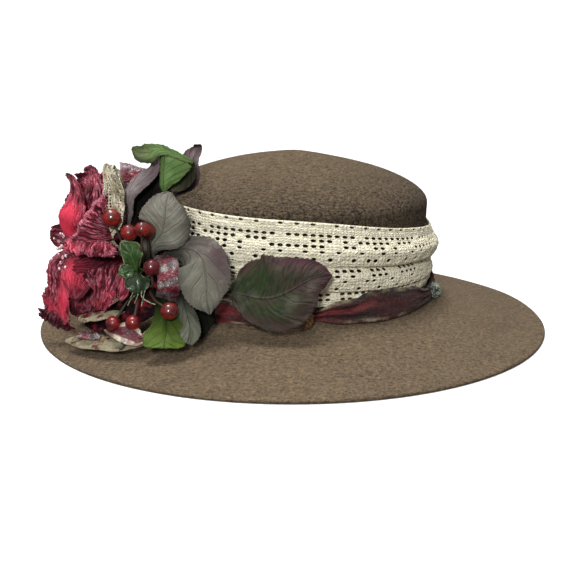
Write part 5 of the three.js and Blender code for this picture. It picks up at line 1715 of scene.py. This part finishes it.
def make_sky(scene):
    """A bright band at the horizon, and a soft top light."""
    world = bpy.data.worlds.new("studio")
    world.use_nodes = True
    scene.world = world
    nodes, links = world.node_tree.nodes, world.node_tree.links
    where = nodes.new("ShaderNodeTexCoord")
    split = nodes.new("ShaderNodeSeparateXYZ")
    ramp = nodes.new("ShaderNodeValToRGB")
    set_stops(ramp.color_ramp, [(at, (value, value, value, 1)) for at, value in SKY])
    half = nodes.new("ShaderNodeMath")
    half.operation = "MULTIPLY_ADD"
    half.inputs[1].default_value = half.inputs[2].default_value = 0.5
    links.new(where.outputs["Generated"], split.inputs[0])
    links.new(split.outputs[2], half.inputs[0])
    links.new(half.outputs[0], ramp.inputs[0])
    links.new(ramp.outputs[0], nodes["Background"].inputs["Color"])


def make_stage():
    scene = bpy.context.scene
    scene.view_settings.view_transform = "Standard"
    make_camera(scene)
    make_floor()
    make_sky(scene)
    sun = bpy.data.lights.new("overhead light", "SUN")
    sun.energy, sun.angle = SUN_POWER, math.radians(SUN_WIDTH)
    aim("overhead light", sun, SUN_AIM)
    box = bpy.data.lights.new("front light", "AREA")
    box.energy, box.size = BOX_POWER, BOX_SIZE
    aim("front light", box, BOX_AIM).location = BOX_AT


# Operators

class Maker:
    """What every operator shares; each one's make builds its pieces."""
    bl_options = {"REGISTER", "UNDO"}

    def execute(self, context):
        self.make()
        return {"FINISHED"}


class HAT_OT_hood(Maker, bpy.types.Operator):
    """Make the felt hood"""
    bl_idname = "hat.hood"
    bl_label = "Felt hood"

    def make(self):
        make_hood()


class HAT_OT_lace_band(Maker, bpy.types.Operator):
    """Make the crochet band"""
    bl_idname = "hat.lace_band"
    bl_label = "Lace band"

    def make(self):
        make_lace_band(lace_finish())


class HAT_OT_ribbon_band(Maker, bpy.types.Operator):
    """Make the ribbon band and its two knots"""
    bl_idname = "hat.ribbon_band"
    bl_label = "Ribbon band"

    def make(self):
        make_ribbon_band(tartan_finish())
        make_knots()


class HAT_OT_stems(Maker, bpy.types.Operator):
    """Make the bound stems"""
    bl_idname = "hat.stems"
    bl_label = "Stems"

    def make(self):
        make_stems()


class HAT_OT_berries(Maker, bpy.types.Operator):
    """Make the berries"""
    bl_idname = "hat.berries"
    bl_label = "Berries"

    def make(self):
        make_berries()


class HAT_OT_bloom(Maker, bpy.types.Operator):
    """Make the silk bloom: petals and stamens"""
    bl_idname = "hat.bloom"
    bl_label = "Bloom"

    def make(self):
        face, back = petal_finish("petal silk", 1.0), petal_finish("petal silk back", 0.35)
        for row in PETALS:
            make_petal(row, [face, back])
        make_stamens()


class HAT_OT_leaves(Maker, bpy.types.Operator):
    """Make the velvet and the glossy leaves"""
    bl_idname = "hat.leaves"
    bl_label = "Leaves"

    def make(self):
        make_leaves()
        make_glossy_leaves()


class HAT_OT_loops(Maker, bpy.types.Operator):
    """Make the loops and ends of lace and ribbon"""
    bl_idname = "hat.loops"
    bl_label = "Loops"

    def make(self):
        make_straps()
        # The loop's lace has brown mottling painted on as shade.
        make_lace_loop(lace_finish("crochet cotton, mottled shade", 0.8))


class HAT_OT_stage(Maker, bpy.types.Operator):
    """Make the camera, the floor and the lights"""
    bl_idname = "hat.stage"
    bl_label = "Studio"

    def make(self):
        make_stage()


OPERATORS = (
    HAT_OT_stage, HAT_OT_hood, HAT_OT_lace_band, HAT_OT_ribbon_band, HAT_OT_stems, HAT_OT_berries,
    HAT_OT_leaves, HAT_OT_loops, HAT_OT_bloom,
)


class HAT_PT_panel(bpy.types.Panel):
    bl_label = "Brimmed Hat"
    bl_idname = "HAT_PT_panel"
    bl_space_type = "VIEW_3D"
    bl_region_type = "UI"
    bl_category = "Hat"

    def draw(self, context):
        for kind in OPERATORS:
            self.layout.operator(kind.bl_idname)
        for settings in (context.scene.hat_sizes, context.scene.hat_colours):
            for name in settings.__annotations__:
                self.layout.prop(settings, name)


CLASSES = (HatSizes, HatColours, *OPERATORS, HAT_PT_panel)


def register():
    for kind in CLASSES:
        bpy.utils.register_class(kind)
    bpy.types.Scene.hat_sizes = PointerProperty(type=HatSizes)
    bpy.types.Scene.hat_colours = PointerProperty(type=HatColours)


def unregister():
    del bpy.types.Scene.hat_colours
    del bpy.types.Scene.hat_sizes
    for kind in reversed(CLASSES):
        bpy.utils.unregister_class(kind)


def main():
    register()
    for kind in OPERATORS:
        group, name = kind.bl_idname.split(".")
        getattr(getattr(bpy.ops, group), name)()


if __name__ == "__main__":
    main()
